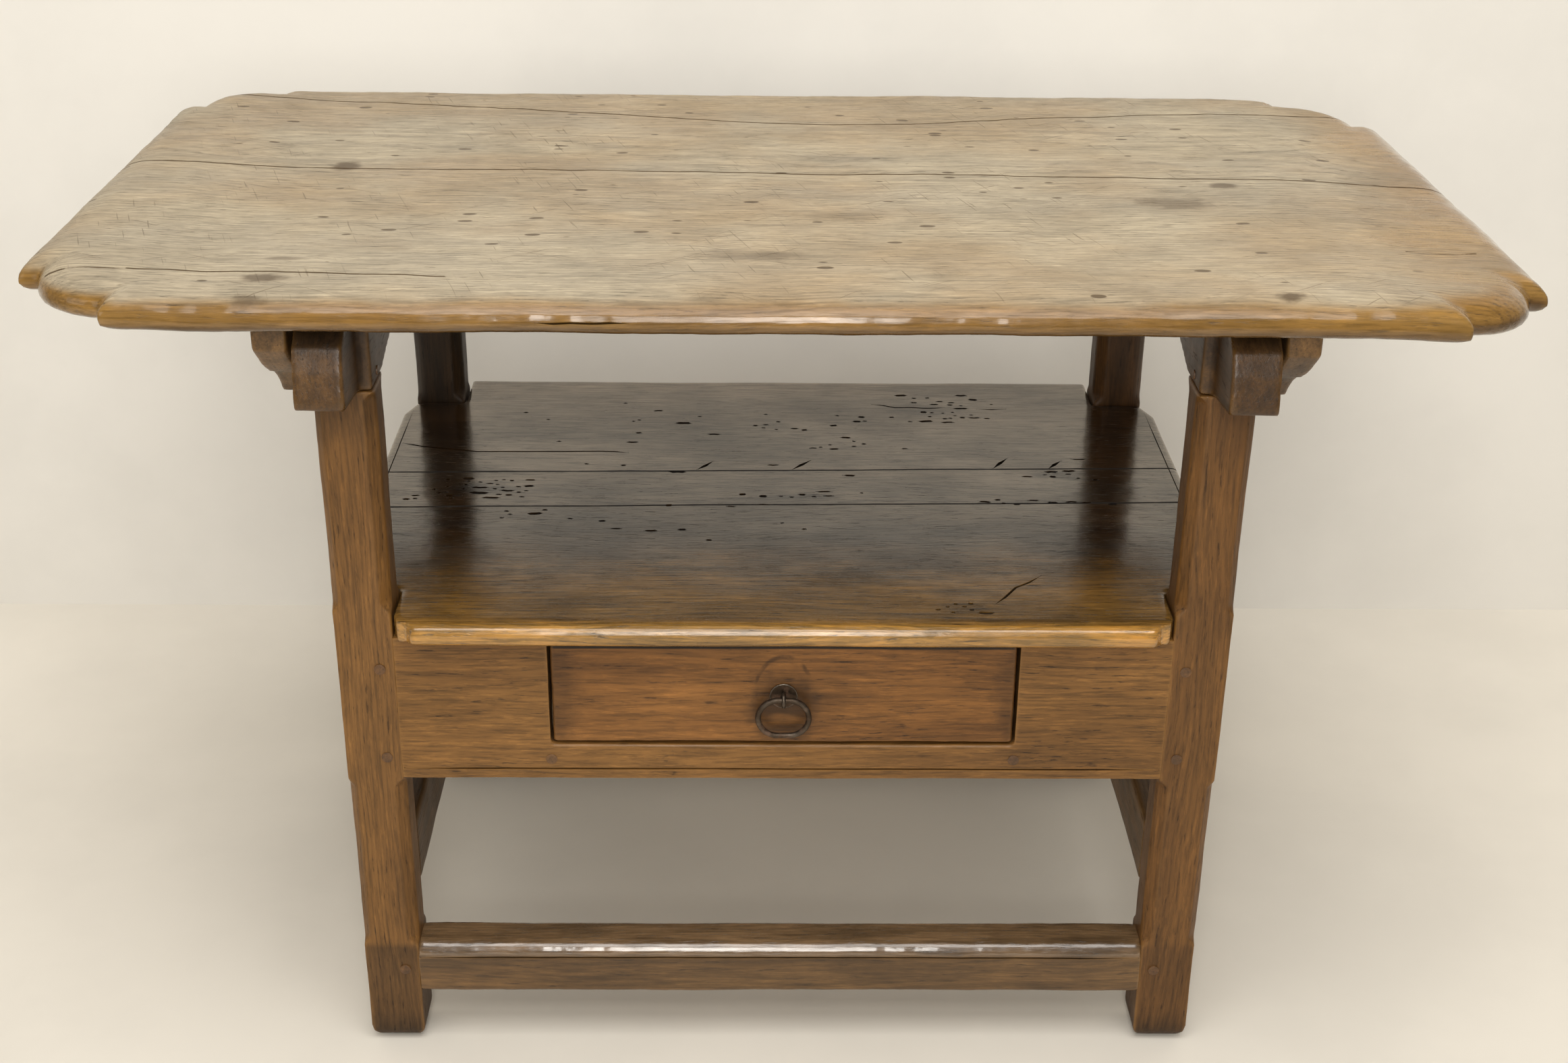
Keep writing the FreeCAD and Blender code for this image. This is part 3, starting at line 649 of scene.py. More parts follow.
def edge_wear_group():
    """Where an arris is rubbed bare, a hollow holds grime and a joint shows dark, all broken up."""
    paint, given, out = new_group("edge_wear", [("Place", VECTOR)], ["Rubbed", "Grime", "Seam"])
    worn = paint.put('ShaderNodeAttribute', attribute_name="wear")["Fac"]
    seam = paint.put('ShaderNodeAttribute', attribute_name="seam")["Fac"]
    patchy = paint.noise(given["Place"], (38.0, 38.0, 38.0), 4.0, 0.65)
    uneven = paint.plus(-0.08, patchy, 0.16)
    paint.feed(out, {
        "Rubbed": paint.between(paint.plus(worn, uneven), 0.03, 0.17),
        "Grime": paint.between(paint.plus(uneven, worn, -1.0), 0.02, 0.12),
        "Seam": paint.between(paint.plus(seam, uneven, 0.5), 0.905, 0.955),
    })
    return paint.tree


def stain_group():
    """A soft-edged ragged spot about a centre, stretched by its reach on each axis."""
    inputs = [("Place", VECTOR), ("Centre", VECTOR), ("Reach", VECTOR)]
    paint, given, out = new_group("stain", inputs, ["Spot"])
    away = paint.vector('SUBTRACT', given["Place"], given["Centre"])
    far = paint.length(paint.vector('DIVIDE', away, given["Reach"]))
    ragged = paint.noise(given["Place"], (60.0, 90.0, 90.0), 3.0, 0.6)
    distance = paint.plus(far, paint.plus(-0.5, ragged))
    paint.feed(out, {"Spot": paint.between(distance, 0.35, 1.0, 1.0, 0.0)})
    return paint.tree


def scratch_group():
    """Thin short scratches at three slants on a level surface, and specks where it is bruised."""
    paint, given, out = new_group("scratches", [("Place", VECTOR)], ["Scratch", "Speck"])
    place = given["Place"]
    scratch = 0.0
    for slant, run in ((0.45, 14.0), (1.25, 20.0), (2.5, 11.0)):
        lines = paint.noise(paint.mapped(place, Rotation=(0.0, 0.0, slant)), (run, 460.0, 3.0), 1.0)
        scratch = paint.most(paint.between(lines, 0.69, 0.75), scratch)
    patchy = paint.noise(place, (8.0, 8.0, 8.0))
    cells = paint.mapped(place, Scale=(34.0, 74.0, 74.0))
    dots = paint.put('ShaderNodeTexVoronoi', {"Vector": cells, "Scale": 1.0})
    chosen = paint.put('ShaderNodeSeparateColor', {0: dots["Color"]})[0]
    size = paint.between(chosen, 0.68, 1.0, 0.0, 0.26)
    paint.feed(out, {
        "Scratch": paint.varied(scratch, (patchy, 0.42, 0.6)),
        "Speck": paint.between(paint.plus(size, dots["Distance"], -1.0), 0.0, 0.06),
    })
    return paint.tree


OAK_FIGURE = oak_figure_group()
EDGE_WEAR = edge_wear_group()
STAIN = stain_group()
SCRATCHES = scratch_group()

# Grain turned to run along a piece: the axis it runs along, as a rotation of the pattern
GRAIN = {"across": (0, 0, 0), "along": (0, 0, math.pi / 2), "upright": (0, math.pi / 2, 0)}
RING_WIDTH = 0.0042
STAIN_SINK = 0.02


def tone(red, green, blue):
    return (red, green, blue, 1.0)


def scaled_tone(colour, by):
    return tone(*[min(1.0, part * by) for part in colour[:3]])


def oak(name, grain, tones, shine, heart=(0.0, 0.3, -0.25), rub=0.5, tints=(), stains=(), scratched=None,
        trace=None, contrast=1.0, cloud=0.0, fine=1.0, polish=(), varnish=tone(1.0, 1.0, 1.0), buff=0.075,
        specular=0.5):
    """Old oak. tones are its dark, middle and light; shine is the roughness of the flat and of a worn arris;
    tints are washes as (axis, where it starts, where it is full, colour, strength, change of roughness);
    stains are spots as (centre, reach, strength); scratched is the height of a level face with scratches;
    trace draws marks of its own; contrast is how lively the broad figure is, fine how lively its lines, and
    cloud how strong the dull blotches are; polish is where hands have given a gloss, each as (axis, where it
    starts, where it is full, strength), varnish the colour seen through it and buff its roughness."""
    material, paint, shader, place = new_material(name)
    dark, middle, light = tones
    deep = scaled_tone(dark, 0.32)
    bare = scaled_tone(light, 1.25)
    turned = paint.mapped(place, Rotation=GRAIN[grain])
    figure = paint.group(OAK_FIGURE, Place=turned, Heart=heart, RingWidth=RING_WIDTH)
    wear = paint.group(EDGE_WEAR, Place=place)
    dirt = paint.most(wear["Grime"], wear["Seam"])
    axes = paint.put('ShaderNodeSeparateXYZ', {0: place})
    mottle = paint.noise(place, (9.0, 9.0, 9.0), 5.0, 0.62)
    patches = paint.noise(turned, (3.0, 8.0, 8.0), 5.0, 0.65)

    colour = paint.blended(paint.between(figure["Drift"], 0.32, 0.68), dark, light)
    colour = paint.blended(0.5, colour, middle)
    rough = paint.between(mottle, 0.3, 0.7, shine[0] - 0.05, shine[0] + 0.08)
    ragged = paint.plus(-0.5, mottle)
    broken = 1.0
    if cloud:
        broken = paint.between(paint.noise(place, (4.5, 6.0, 6.0), 3.0), 0.36, 0.64, 1.0, 1.0 - 2.2 * cloud)
    for axis, start, full, wash, strength, rougher in tints:
        uneven = paint.plus(axes[axis], ragged, abs(full - start) * 0.8)
        washed = paint.times(paint.between(uneven, start, full), broken)
        colour = paint.blended(paint.times(washed, strength), colour, wash)
        rough = paint.plus(rough, washed, rougher)
    shade = paint.varied(1.0, (figure["Streak"], 0.34, 0.66, 1.24, 0.70), (mottle, 0.34, 0.68, 1.12, 0.76),
                         (patches, 0.50, 0.66, 1.0, 0.74))
    lines = paint.varied(1.0, (figure["Rings"], 0.0, 1.0, 1.0, 0.88), (figure["Fleck"], 0.0, 1.0, 1.0, 1.20),
                         (figure["Fibre"], 0.42, 0.66, 1.08, 0.74), (figure["Pores"], 0.0, 1.0, 1.03, 0.58))
    shade = paint.times(paint.plus(1.0 - contrast, shade, contrast), paint.plus(1.0 - fine, lines, fine))
    if cloud:
        blotches = paint.noise(turned, (11.0, 16.0, 16.0), 6.0, 0.68)
        shade = paint.varied(shade, (blotches, 0.40, 0.64, 1.0 + cloud / 3, 1.0 - 0.6 * cloud))
    colour = paint.scaled(colour, shade)
    colour = paint.blended(paint.times(wear["Rubbed"], rub), colour, bare)
    colour = paint.blended(paint.times(dirt, 0.85), colour, deep)
    height = paint.plus(paint.times(figure["Fibre"], 0.5), figure["Pores"], -0.6)
    spots = 0.0
    for centre, reach, strength in stains:
        spot = paint.times(paint.group(STAIN, Place=place, Centre=centre, Reach=reach)["Spot"], strength)
        colour = paint.blended(spot, colour, deep)
        spots = paint.most(spot, spots)
    if scratched:
        marks = paint.group(SCRATCHES, Place=place)
        level = paint.between(axes["Z"], scratched - 0.006, scratched - 0.003, 0.0, 0.80)
        for mark, strength, depth in ((marks["Scratch"], 0.55, -1.5), (marks["Speck"], 1.0, -2.0)):
            seen = paint.times(paint.times(mark, level), strength)
            colour = paint.blended(seen, colour, deep)
            height = paint.plus(height, seen, depth)
    if trace:
        colour = paint.blended(trace(paint, place), colour, deep)

    for value, rougher in ((wear["Rubbed"], shine[1] - shine[0]), (figure["Pores"], 0.15), (dirt, 0.4)):
        rough = paint.plus(rough, value, rougher)
    if polish:
        gloss = 0.0
        for axis, start, full, strength in polish:
            gloss = paint.most(paint.between(axes[axis], start, full, 0.0, strength), gloss)
        gloss = paint.varied(gloss, (mottle, 0.30, 0.70, 1.0, 0.6), (patches, 0.40, 0.66, 1.15, 0.75),
                             (dirt, 0.0, 1.0, 1.0, 0.0), (spots, 0.0, 1.0, 1.0, 0.2),
                             (figure["Streak"], 0.34, 0.66, 1.08, 0.85),
                             (figure["Fibre"], 0.42, 0.66, 1.2, 0.55))
        paint.feed(shader.inputs, {"Coat Weight": gloss, "Coat Tint": varnish, "Coat Roughness": buff})
    bump = paint.put('ShaderNodeBump', {"Strength": 0.4, "Distance": 0.0009, "Height": height})[0]
    paint.feed(shader.inputs, {"Base Color": colour, "Roughness": rough, "Normal": bump,
                               "Specular IOR Level": specular})
    return material


# Wear about the ring on the drawer front: how far below the staple it lies, and its reach across and up
RUBBED_ARC = (0.0, (0.025, 0.037))
GRIME_OVAL = (0.010, (0.034, 0.032))
BARE_OVAL = (0.024, (0.016, 0.006))


def from_oval(paint, away, drop, reach):
    """How far out a place is from the middle of an oval, with 1 on its line."""
    hang = paint.vector('SUBTRACT', away, (0.0, 0.0, -drop))
    return paint.length(paint.vector('MULTIPLY', hang, (1 / reach[0], 0.0, 1 / reach[1])))


def ring_rub(paint, place):
    """The dark arc that the ring has rubbed on the drawer front above its staple, and the grime about it,
    with a barer patch inside the ring."""
    away = paint.vector('SUBTRACT', place, RING_PIVOT)
    ragged = paint.noise(place, (70.0, 70.0, 70.0), 3.0)
    off_line = paint.sum_of('ABSOLUTE', paint.plus(-1.0, from_oval(paint, away, *RUBBED_ARC)))
    rise = paint.put('ShaderNodeSeparateXYZ', {0: away})["Z"]
    arc = paint.varied(1.0, (off_line, 0.02, 0.10, 0.75, 0.0), (rise, 0.004, 0.016), (ragged, 0.35, 0.60))
    grime, bare = [paint.between(paint.plus(from_oval(paint, away, *oval), ragged), 0.9, 1.8, 0.85, 0.0)
                   for oval in (GRIME_OVAL, BARE_OVAL)]
    return paint.most(arc, paint.times(grime, paint.plus(1.0, bare, -1.0)))


def spots_on(level, *spots):
    """Stains on a level face, each as its middle, its reach along and across, and its strength."""
    return [((x, y, level), (along, across, STAIN_SINK), strength) for x, y, along, across, strength in spots]


# Colours of the timber: dark, middle and light. The back posts' tones are painted shade
TOP_TONES = (tone(0.150, 0.074, 0.016), tone(0.215, 0.115, 0.026), tone(0.276, 0.157, 0.041))
SEAT_TONES = (tone(0.012, 0.006, 0.0026), tone(0.026, 0.0138, 0.0054), tone(0.05, 0.028, 0.0115))
FRAME_TONES = (tone(0.122, 0.057, 0.0148), tone(0.166, 0.076, 0.019), tone(0.207, 0.102, 0.0275))
DARKER_TONES = (tone(0.052, 0.026, 0.008), tone(0.110, 0.056, 0.018), tone(0.17, 0.092, 0.032))
SHADED_TONES = (tone(0.016, 0.008, 0.003), tone(0.032, 0.016, 0.005), tone(0.050, 0.026, 0.009))
ARM_TONES = (tone(0.034, 0.015, 0.004), tone(0.072, 0.033, 0.008), tone(0.110, 0.055, 0.015))
DRAWER_TONES = (tone(0.100, 0.041, 0.009), tone(0.176, 0.072, 0.0155), tone(0.235, 0.105, 0.027))
BARE_TONES = (tone(0.15, 0.095, 0.05), tone(0.27, 0.185, 0.105), tone(0.36, 0.26, 0.16))
PEG_TONES = (tone(0.055, 0.022, 0.006), tone(0.105, 0.044, 0.011), tone(0.15, 0.070, 0.020))
# Pale grey for the flat of the top: partly a wax haze, partly a painted sheen of the bright room
WAX_HAZE_AND_SHEEN = tone(0.372, 0.342, 0.262)
# Painted shade for the lower round of the top's front edge
UNDER_EDGE_SHADE = tone(0.055, 0.026, 0.008)
SEAT_AMBER = tone(0.19, 0.098, 0.020)
NOSE_AMBER = tone(0.36, 0.205, 0.050)
# Dark wash: darker lower posts and feet, and painted shade under the arms and the table top
GRIME_AND_SHADE = tone(0.030, 0.017, 0.008)
# Painted shadow of the seat's nose, for the top edge of the drawer front
NOSE_SHADOW_DARK = tone(0.010, 0.006, 0.003)
# Painted shade for the posts on the right, darker and redder, as the light falls from the left
RIGHT_POST_SHADE = tone(0.105, 0.044, 0.010)
# Pale wash for the stretcher's top: worn wood, and partly a painted sheen
WORN_PALE_AND_SHEEN = tone(0.16, 0.098, 0.05)
SEAT_VARNISH = tone(1.0, 0.88, 0.70)

# Washes, stains and gloss of the timber, laid out as oak takes them
# The flat of the top is washed pale: wax haze, and a painted sheen of the bright room.
TOP_TINTS = [("Z", TABLE_TOP - 0.0096, TABLE_TOP - 0.0024, WAX_HAZE_AND_SHEEN, 0.66, 0.22),
             # painted shade on the lower round of the front edge
             ("Z", TABLE_UNDER + 0.011, TABLE_UNDER + 0.004, UNDER_EDGE_SHADE, 0.8, 0.05)]
TOP_POLISH = [("Z", TABLE_TOP - 0.006, TABLE_TOP - 0.012, 0.85)]
TOP_STAINS = spots_on(
    TABLE_TOP, (-0.394, 0.038, 0.016, 0.022, 0.8), (-0.401, -0.275, 0.024, 0.012, 0.75),
    (-0.406, -0.314, 0.018, 0.010, 0.6), (0.388, -0.006, 0.016, 0.012, 0.7),
    (0.378, -0.302, 0.016, 0.010, 0.8), (0.334, -0.061, 0.045, 0.024, 0.5),
    (-0.030, -0.214, 0.060, 0.020, 0.35), (0.042, -0.107, 0.05, 0.022, 0.25),
    (-0.392, -0.229, 0.020, 0.006, 0.5))
SEAT_TINTS = [("Y", -0.090, -0.235, SEAT_AMBER, 0.85, 0.06), ("Y", -0.2568, -0.2600, NOSE_AMBER, 0.9, 0.0)]
SEAT_POLISH = [("Y", -0.33, 0.16, 1.1), ("Y", -0.2560, -0.2615, 1.0)]
SEAT_STAINS = spots_on(
    SEAT_TOP, (-0.282, 0.002, 0.050, 0.016, 0.65), (0.150, 0.205, 0.075, 0.022, 0.5),
    (0.270, 0.040, 0.040, 0.014, 0.6), (0.020, -0.012, 0.060, 0.010, 0.45),
    (0.245, -0.022, 0.075, 0.006, 0.55), (0.000, 0.160, 0.028, 0.012, 0.45),
    (-0.200, -0.050, 0.080, 0.030, 0.35), (0.150, -0.236, 0.030, 0.012, 0.45))
# The posts darken below the stretchers and towards the floor; painted shade darkens their tops under the arms
# and the table top.
POST_TINTS = [("Z", 0.112, 0.104, GRIME_AND_SHADE, 0.55, 0.05), ("Z", 0.590, 0.640, GRIME_AND_SHADE, 0.35, 0.0),
              # painted shade on the posts on the right
              ("X", 0.20, 0.30, RIGHT_POST_SHADE, 0.6, 0.0), ("Z", 0.040, 0.004, GRIME_AND_SHADE, 0.7, 0.1)]
# Painted shade darkens the tops of the arm noses, under the overhang of the table top.
ARM_TINTS = [("Z", 0.694, 0.712, GRIME_AND_SHADE, 0.85, 0.0)]
# the stretcher's top is washed pale: worn wood, and partly a painted sheen
STRETCHER_TINTS = [("Z", STRETCHER_TOP - 0.014, STRETCHER_TOP - 0.009, WORN_PALE_AND_SHEEN, 0.8, -0.22)]
STRETCHER_POLISH = [("Z", STRETCHER_TOP - 0.014, STRETCHER_TOP - 0.010, 1.4)]
# A painted shadow of the seat's nose darkens the top edge of the drawer front.
DRAWER_TINTS = [("Z", 0.4152, 0.4166, NOSE_SHADOW_DARK, 0.95, 0.1)]
# The drawer front is darker towards both ends, and in two patches beside and below the ring.
DRAWER_DARKENING = [
    ((-0.198, DRAWER_FACE, 0.372), (0.034, 0.03, 0.075), 0.5),
    ((0.198, DRAWER_FACE, 0.372), (0.026, 0.03, 0.075), 0.5),
    ((0.05, DRAWER_FACE, 0.372), (0.055, 0.03, 0.014), 0.35),
    ((0.0, DRAWER_FACE, 0.336), (0.03, 0.03, 0.012), 0.4),
]

# The oak of each kind of piece
UPRIGHT_HEART = (0.0, -0.33, -0.28)
ALONG_HEART = (0.0, 0.52, 0.75)
FRAME_SHINE = (0.44, 0.30)
BARE_SHINE = (0.72, 0.65)
OAK_TOP = oak("oak_top", "across", TOP_TONES, (0.22, 0.20), heart=(0.0, 0.1, 0.55), rub=0.2, tints=TOP_TINTS,
              stains=TOP_STAINS, scratched=TABLE_TOP, contrast=0.22, cloud=0.18, polish=TOP_POLISH,
              specular=0.22)
OAK_SEAT = oak("oak_seat", "across", SEAT_TONES, (0.15, 0.15), heart=(0.0, -0.16, 0.36), rub=0.3,
               tints=SEAT_TINTS, stains=SEAT_STAINS, fine=1.5, polish=SEAT_POLISH, varnish=SEAT_VARNISH,
               buff=0.13)
# The back posts take painted shade: they stand in the shadow of the top.
OAK_BACK_POST = oak("oak_back_post", "upright", SHADED_TONES, FRAME_SHINE, heart=UPRIGHT_HEART,
                    tints=POST_TINTS, specular=0.3)
OAK_POST = oak("oak_post", "upright", FRAME_TONES, FRAME_SHINE, heart=UPRIGHT_HEART, tints=POST_TINTS,
               contrast=0.40, fine=1.2, specular=0.3)
OAK_RAIL = oak("oak_rail", "across", FRAME_TONES, FRAME_SHINE, heart=(0.0, -0.45, 0.30), contrast=0.36,
               fine=1.4, specular=0.3)
OAK_STRETCHER = oak("oak_stretcher", "across", DARKER_TONES, (0.42, 0.24), heart=(0.0, -0.45, 0.20), rub=0.6,
                    tints=STRETCHER_TINTS, polish=STRETCHER_POLISH)
OAK_SIDE_RAIL = oak("oak_side_rail", "along", DARKER_TONES, FRAME_SHINE, heart=ALONG_HEART, specular=0.3)
OAK_ARM = oak("oak_arm", "along", ARM_TONES, (0.38, 0.24), heart=ALONG_HEART, tints=ARM_TINTS, specular=0.4)
OAK_BATTEN = oak("oak_batten", "along", DARKER_TONES, (0.42, 0.28), heart=ALONG_HEART, specular=0.4)
OAK_DRAWER = oak("oak_drawer", "across", DRAWER_TONES, (0.42, 0.30), heart=(0.0, -0.4, 0.33),
                 tints=DRAWER_TINTS, stains=DRAWER_DARKENING, trace=ring_rub, contrast=0.55, fine=1.3,
                 specular=0.3)
OAK_BARE_ALONG = oak("oak_bare_along", "along", BARE_TONES, BARE_SHINE, specular=0.3)
OAK_BARE_ACROSS = oak("oak_bare_across", "across", BARE_TONES, BARE_SHINE, specular=0.3)
OAK_PEG = oak("oak_peg", "along", PEG_TONES, (0.5, 0.4), rub=0.1)


def wrought_iron():
    material, paint, shader, place = new_material("wrought_iron")
    rubbed = paint.group(EDGE_WEAR, Place=place)["Rubbed"]
    scale = paint.noise(place, (260.0, 260.0, 260.0), 4.0, 0.65)
    rust = paint.between(paint.noise(place, (90.0, 90.0, 90.0), 3.0), 0.5, 0.72)
    colour = paint.blended(scale, tone(0.020, 0.013, 0.008), tone(0.075, 0.050, 0.032))
    colour = paint.blended(rust, colour, tone(0.095, 0.046, 0.022))
    colour = paint.blended(paint.times(rubbed, 0.5), colour, tone(0.26, 0.23, 0.19))
    rough = paint.plus(paint.between(scale, 0.3, 0.7, 0.36, 0.58), rust, 0.2)
    bump = paint.put('ShaderNodeBump', {"Strength": 0.5, "Distance": 0.0004, "Height": scale})[0]
    paint.feed(shader.inputs, {"Base Color": colour, "Roughness": paint.plus(rough, rubbed, -0.15),
                               "Metallic": paint.plus(0.9, rust, -0.6), "Normal": bump})
    return material


IRON = wrought_iron()


# Tilting top
def corner_outline(side, depth_side):
    """One stepped corner, walked from the end edge to the long edge."""
    end_stop = TOP_BACK - CORNER_DEPTH
    long_stop = TOP_END - CORNER_LENGTH
    reach_x = CORNER_LENGTH - CORNER_STEP
    reach_y = CORNER_DEPTH - CORNER_STEP
    points = [(TOP_END, end_stop)]
    for i in range(CORNER_STEPS):
        angle = math.pi / 2 * i / (CORNER_STEPS - 1)
        points.append((long_stop + reach_x * math.cos(angle), end_stop + reach_y * math.sin(angle)))
    points.append((long_stop, TOP_BACK))
    return [(side * x, depth_side * y) for x, y in points]


def quarter_round(reach, rise):
    """Places along a quarter round, as distances in and up from its start."""
    angles = [math.pi / 2 * i / EDGE_STEPS for i in range(EDGE_STEPS + 1)]
    return [(reach * (1 - math.cos(angle)), rise * math.sin(angle)) for angle in angles]


def mould_edge(slab, facing, reach, rise):
    """Draws the upper or the lower face inwards and out in steps along a quarter round."""
    pick(slab, "FACE", lambda face: face.normal.z * facing > LEVEL_ENOUGH)
    places = quarter_round(reach, rise)
    for before, now in zip(places, places[1:]):
        bpy.ops.mesh.inset(thickness=now[0] - before[0], depth=now[1] - before[1], use_even_offset=True)
    done()


def moulded_slab():
    widest = TABLE_UNDER + EDGE_UNDER_DROP
    edge_start = TABLE_TOP - EDGE_RISE
    back_corners = TOP_BACK - CORNER_DEPTH - PAST_CORNER
    outline = corner_outline(1, -1)[::-1] + corner_outline(1, 1)
    outline += corner_outline(-1, 1)[::-1] + corner_outline(-1, -1)
    slab = traced("slab", line_at(outline, widest), UP * (edge_start - widest))
    mould_edge(slab, 1, EDGE_REACH, EDGE_RISE)
    mould_edge(slab, -1, EDGE_UNDER_REACH, EDGE_UNDER_DROP)
    for inward, rise in quarter_round(EDGE_REACH, EDGE_RISE)[1:]:
        level = edge_start + rise
        pick(slab, "VERT", lambda p: abs(p.co.z - level) < SAME_LEVEL and p.co.y > back_corners)
        bpy.ops.transform.translate(value=(0, inward * BACK_EDGE_SPARED, 0))
        done()
    return slab


def warp_ends(slab):
    """Lifts the left overhang and lets the right one sag, fading out before the battens."""
    for side, rise in ((-1, END_LIFT), (1, -END_SAG)):
        pick(slab, "VERT", lambda p: p.co.x * side > TOP_END - END_BAND)
        bpy.ops.transform.translate(value=(0, 0, rise), use_proportional_edit=True,
                                    proportional_edit_falloff='SMOOTH', proportional_size=END_FADE)
        done()
    return slab


def smooth_line(points, steps=6):
    """A flowing line through the points."""
    ends = [points[0] * 2 - points[1]] + points + [points[-1] * 2 - points[-2]]
    path = []
    for a, b, c, d in zip(ends, ends[1:], ends[2:], ends[3:]):
        for i in range(steps):
            t = i / steps
            bend = (2 * a - 5 * b + 4 * c - d) * t ** 2 + (3 * b - a - 3 * c + d) * t ** 3
            path.append(0.5 * (2 * b + (c - a) * t + bend))
    return path + [points[-1]]


def behind_back_joint(shift):
    """A block that holds everything behind the bowed joint, moved by shift."""
    base = Vector((0, shift, TABLE_UNDER - JOINT_CUT_BELOW))
    path = [p + base for p in smooth_line(line_at(TOP_BACK_JOINT))]
    left, right = TOP_BACK_JOINT[0][0], TOP_BACK_JOINT[-1][0]
    far = line_at([(right, BEHIND_JOINT), (left, BEHIND_JOINT)], base.z)
    return traced("behind_joint", path + far, UP * JOINT_CUT_HEIGHT)


def joint_plane(joint, shift):
    start, end = line_at(joint)
    run = end - start
    return start + Vector((0, shift, 0)), Vector((-run.y, run.x, 0)).normalized()


def top_planks():
    slab = warp_ends(age(moulded_slab(), "top"))
    front = copy_of(slab, "table_front_plank")
    saw(front, *joint_plane(TOP_FRONT_JOINT, -TOP_JOINT_GAP / 2), keep_front=True)
    edge_crack = [EDGE_CRACK_START + Vector((EDGE_CRACK_STEP * i, -EDGE_CRACK_JAG * (i % 2), 0))
                  for i in range(EDGE_CRACK_POINTS)]
    edge_slit = slit(edge_crack, EDGE_CRACK_WIDTH, EDGE_CRACK_DEPTH, EDGE_CRACK_FACING)
    carve_all(front, cracks_at(TOP_CRACKS, TABLE_TOP, TOP_CRACK_WIDTH) + [edge_slit])
    back = copy_of(slab, "table_back_plank")
    carve(back, behind_back_joint(TOP_JOINT_GAP / 2), 'INTERSECT')
    middle = slab
    middle.name = "table_middle_plank"
    saw(middle, *joint_plane(TOP_FRONT_JOINT, TOP_JOINT_GAP / 2), keep_front=False)
    carve(middle, behind_back_joint(-TOP_JOINT_GAP / 2))
    gaps = [TOP_FRONT_JOINT, smooth_line(line_at(TOP_BACK_JOINT))] + crack_lines(TOP_CRACKS, TABLE_TOP)
    for plank, row in ((front, "front"), (middle, "middle"), (back, "back")):
        fit(plank, "top", OAK_TOP, "top_" + row + "_plank", gaps)


def ogee_end(front, back, band, bottom):
    """The swept end of a batten, from under its square band to its lower edge."""
    points = []
    for i in range(OGEE_STEPS + 1):
        t = i / OGEE_STEPS
        swell = OGEE_SWELL * math.sin(2 * math.pi * t) * (1 if t > 0.5 else OGEE_UPPER_SHARE)
        points.append((front + (back - front) * t, band + (bottom - band) * min(1.0, t + swell)))
    return points


def battens():
    for name in SIDES:
        low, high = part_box("batten_" + name)
        band = high.z - BATTEN_BAND
        profile = [(low.y, high.z)] + ogee_end(low.y, low.y + BATTEN_SWEEP, band, low.z)
        profile += ogee_end(high.y, high.y - BATTEN_SWEEP, band, low.z)[::-1] + [(high.y, high.z)]
        outline = [Vector((low.x, y, z)) for y, z in profile]
        board = age(traced("top_batten_" + name, outline, Vector((high.x - low.x, 0, 0))), "batten")
        fit(board, "top", OAK_BATTEN, "batten_" + name)


# Seat
BETWEEN_POSTS = POST_IN - SEAT_CLEARANCE
EAR_FRONT = POST_BACK + SEAT_CLEARANCE
EAR_BACK = BACK_POST_FRONT - SEAT_CLEARANCE
NOSE_END = BETWEEN_POSTS - NOSE_CLEARANCE


def moulded_seat():
    half = [(NOSE_END - back, SEAT_NOSE + deep) for back, deep in NOSE_RETURN]
    half += [(NOSE_END, FRONT_FACE), (BETWEEN_POSTS, FRONT_FACE), (BETWEEN_POSTS, EAR_FRONT),
             (SEAT_SIDE, EAR_FRONT), (SEAT_SIDE, EAR_BACK - EAR_SLOPE), (POST_OUT, EAR_BACK),
             (BETWEEN_POSTS, EAR_BACK), (BETWEEN_POSTS, SEAT_BACK)]
    outline = line_at(half + [(-x, y) for x, y in reversed(half)], SEAT_UNDER)
    slab = traced("seat_slab", outline, UP * (SEAT_TOP - SEAT_UNDER))
    carve(slab, block("bead_top", (-POST_IN, SEAT_NOSE - PAST, SEAT_TOP - BEAD_DROP),
                      (POST_IN, SEAT_NOSE + SEAT_NOSE_ROUND, SEAT_TOP + PAST)))
    ease(slab, lambda a, b: max(a.y, b.y) < SEAT_NOSE + SAME_LEVEL and abs(a.z - b.z) < SAME_LEVEL,
         SEAT_NOSE_ROUND, 7)
    ease(slab, lambda a, b: min(abs(a.x), abs(b.x)) > POST_OUT - CLOSE and abs(a.z - b.z) < SAME_LEVEL
         and min(a.z, b.z) > SEAT_TOP - CLOSE, EAR_ROUND, 3)
    age(slab, "seat")
    carve(slab, block("nose_step", (-POST_IN, SEAT_NOSE - PAST, SEAT_TOP - NOSE_STEP_DEPTH),
                      (POST_IN, SEAT_NOSE + NOSE_STEP, SEAT_TOP + PAST)))
    return slab


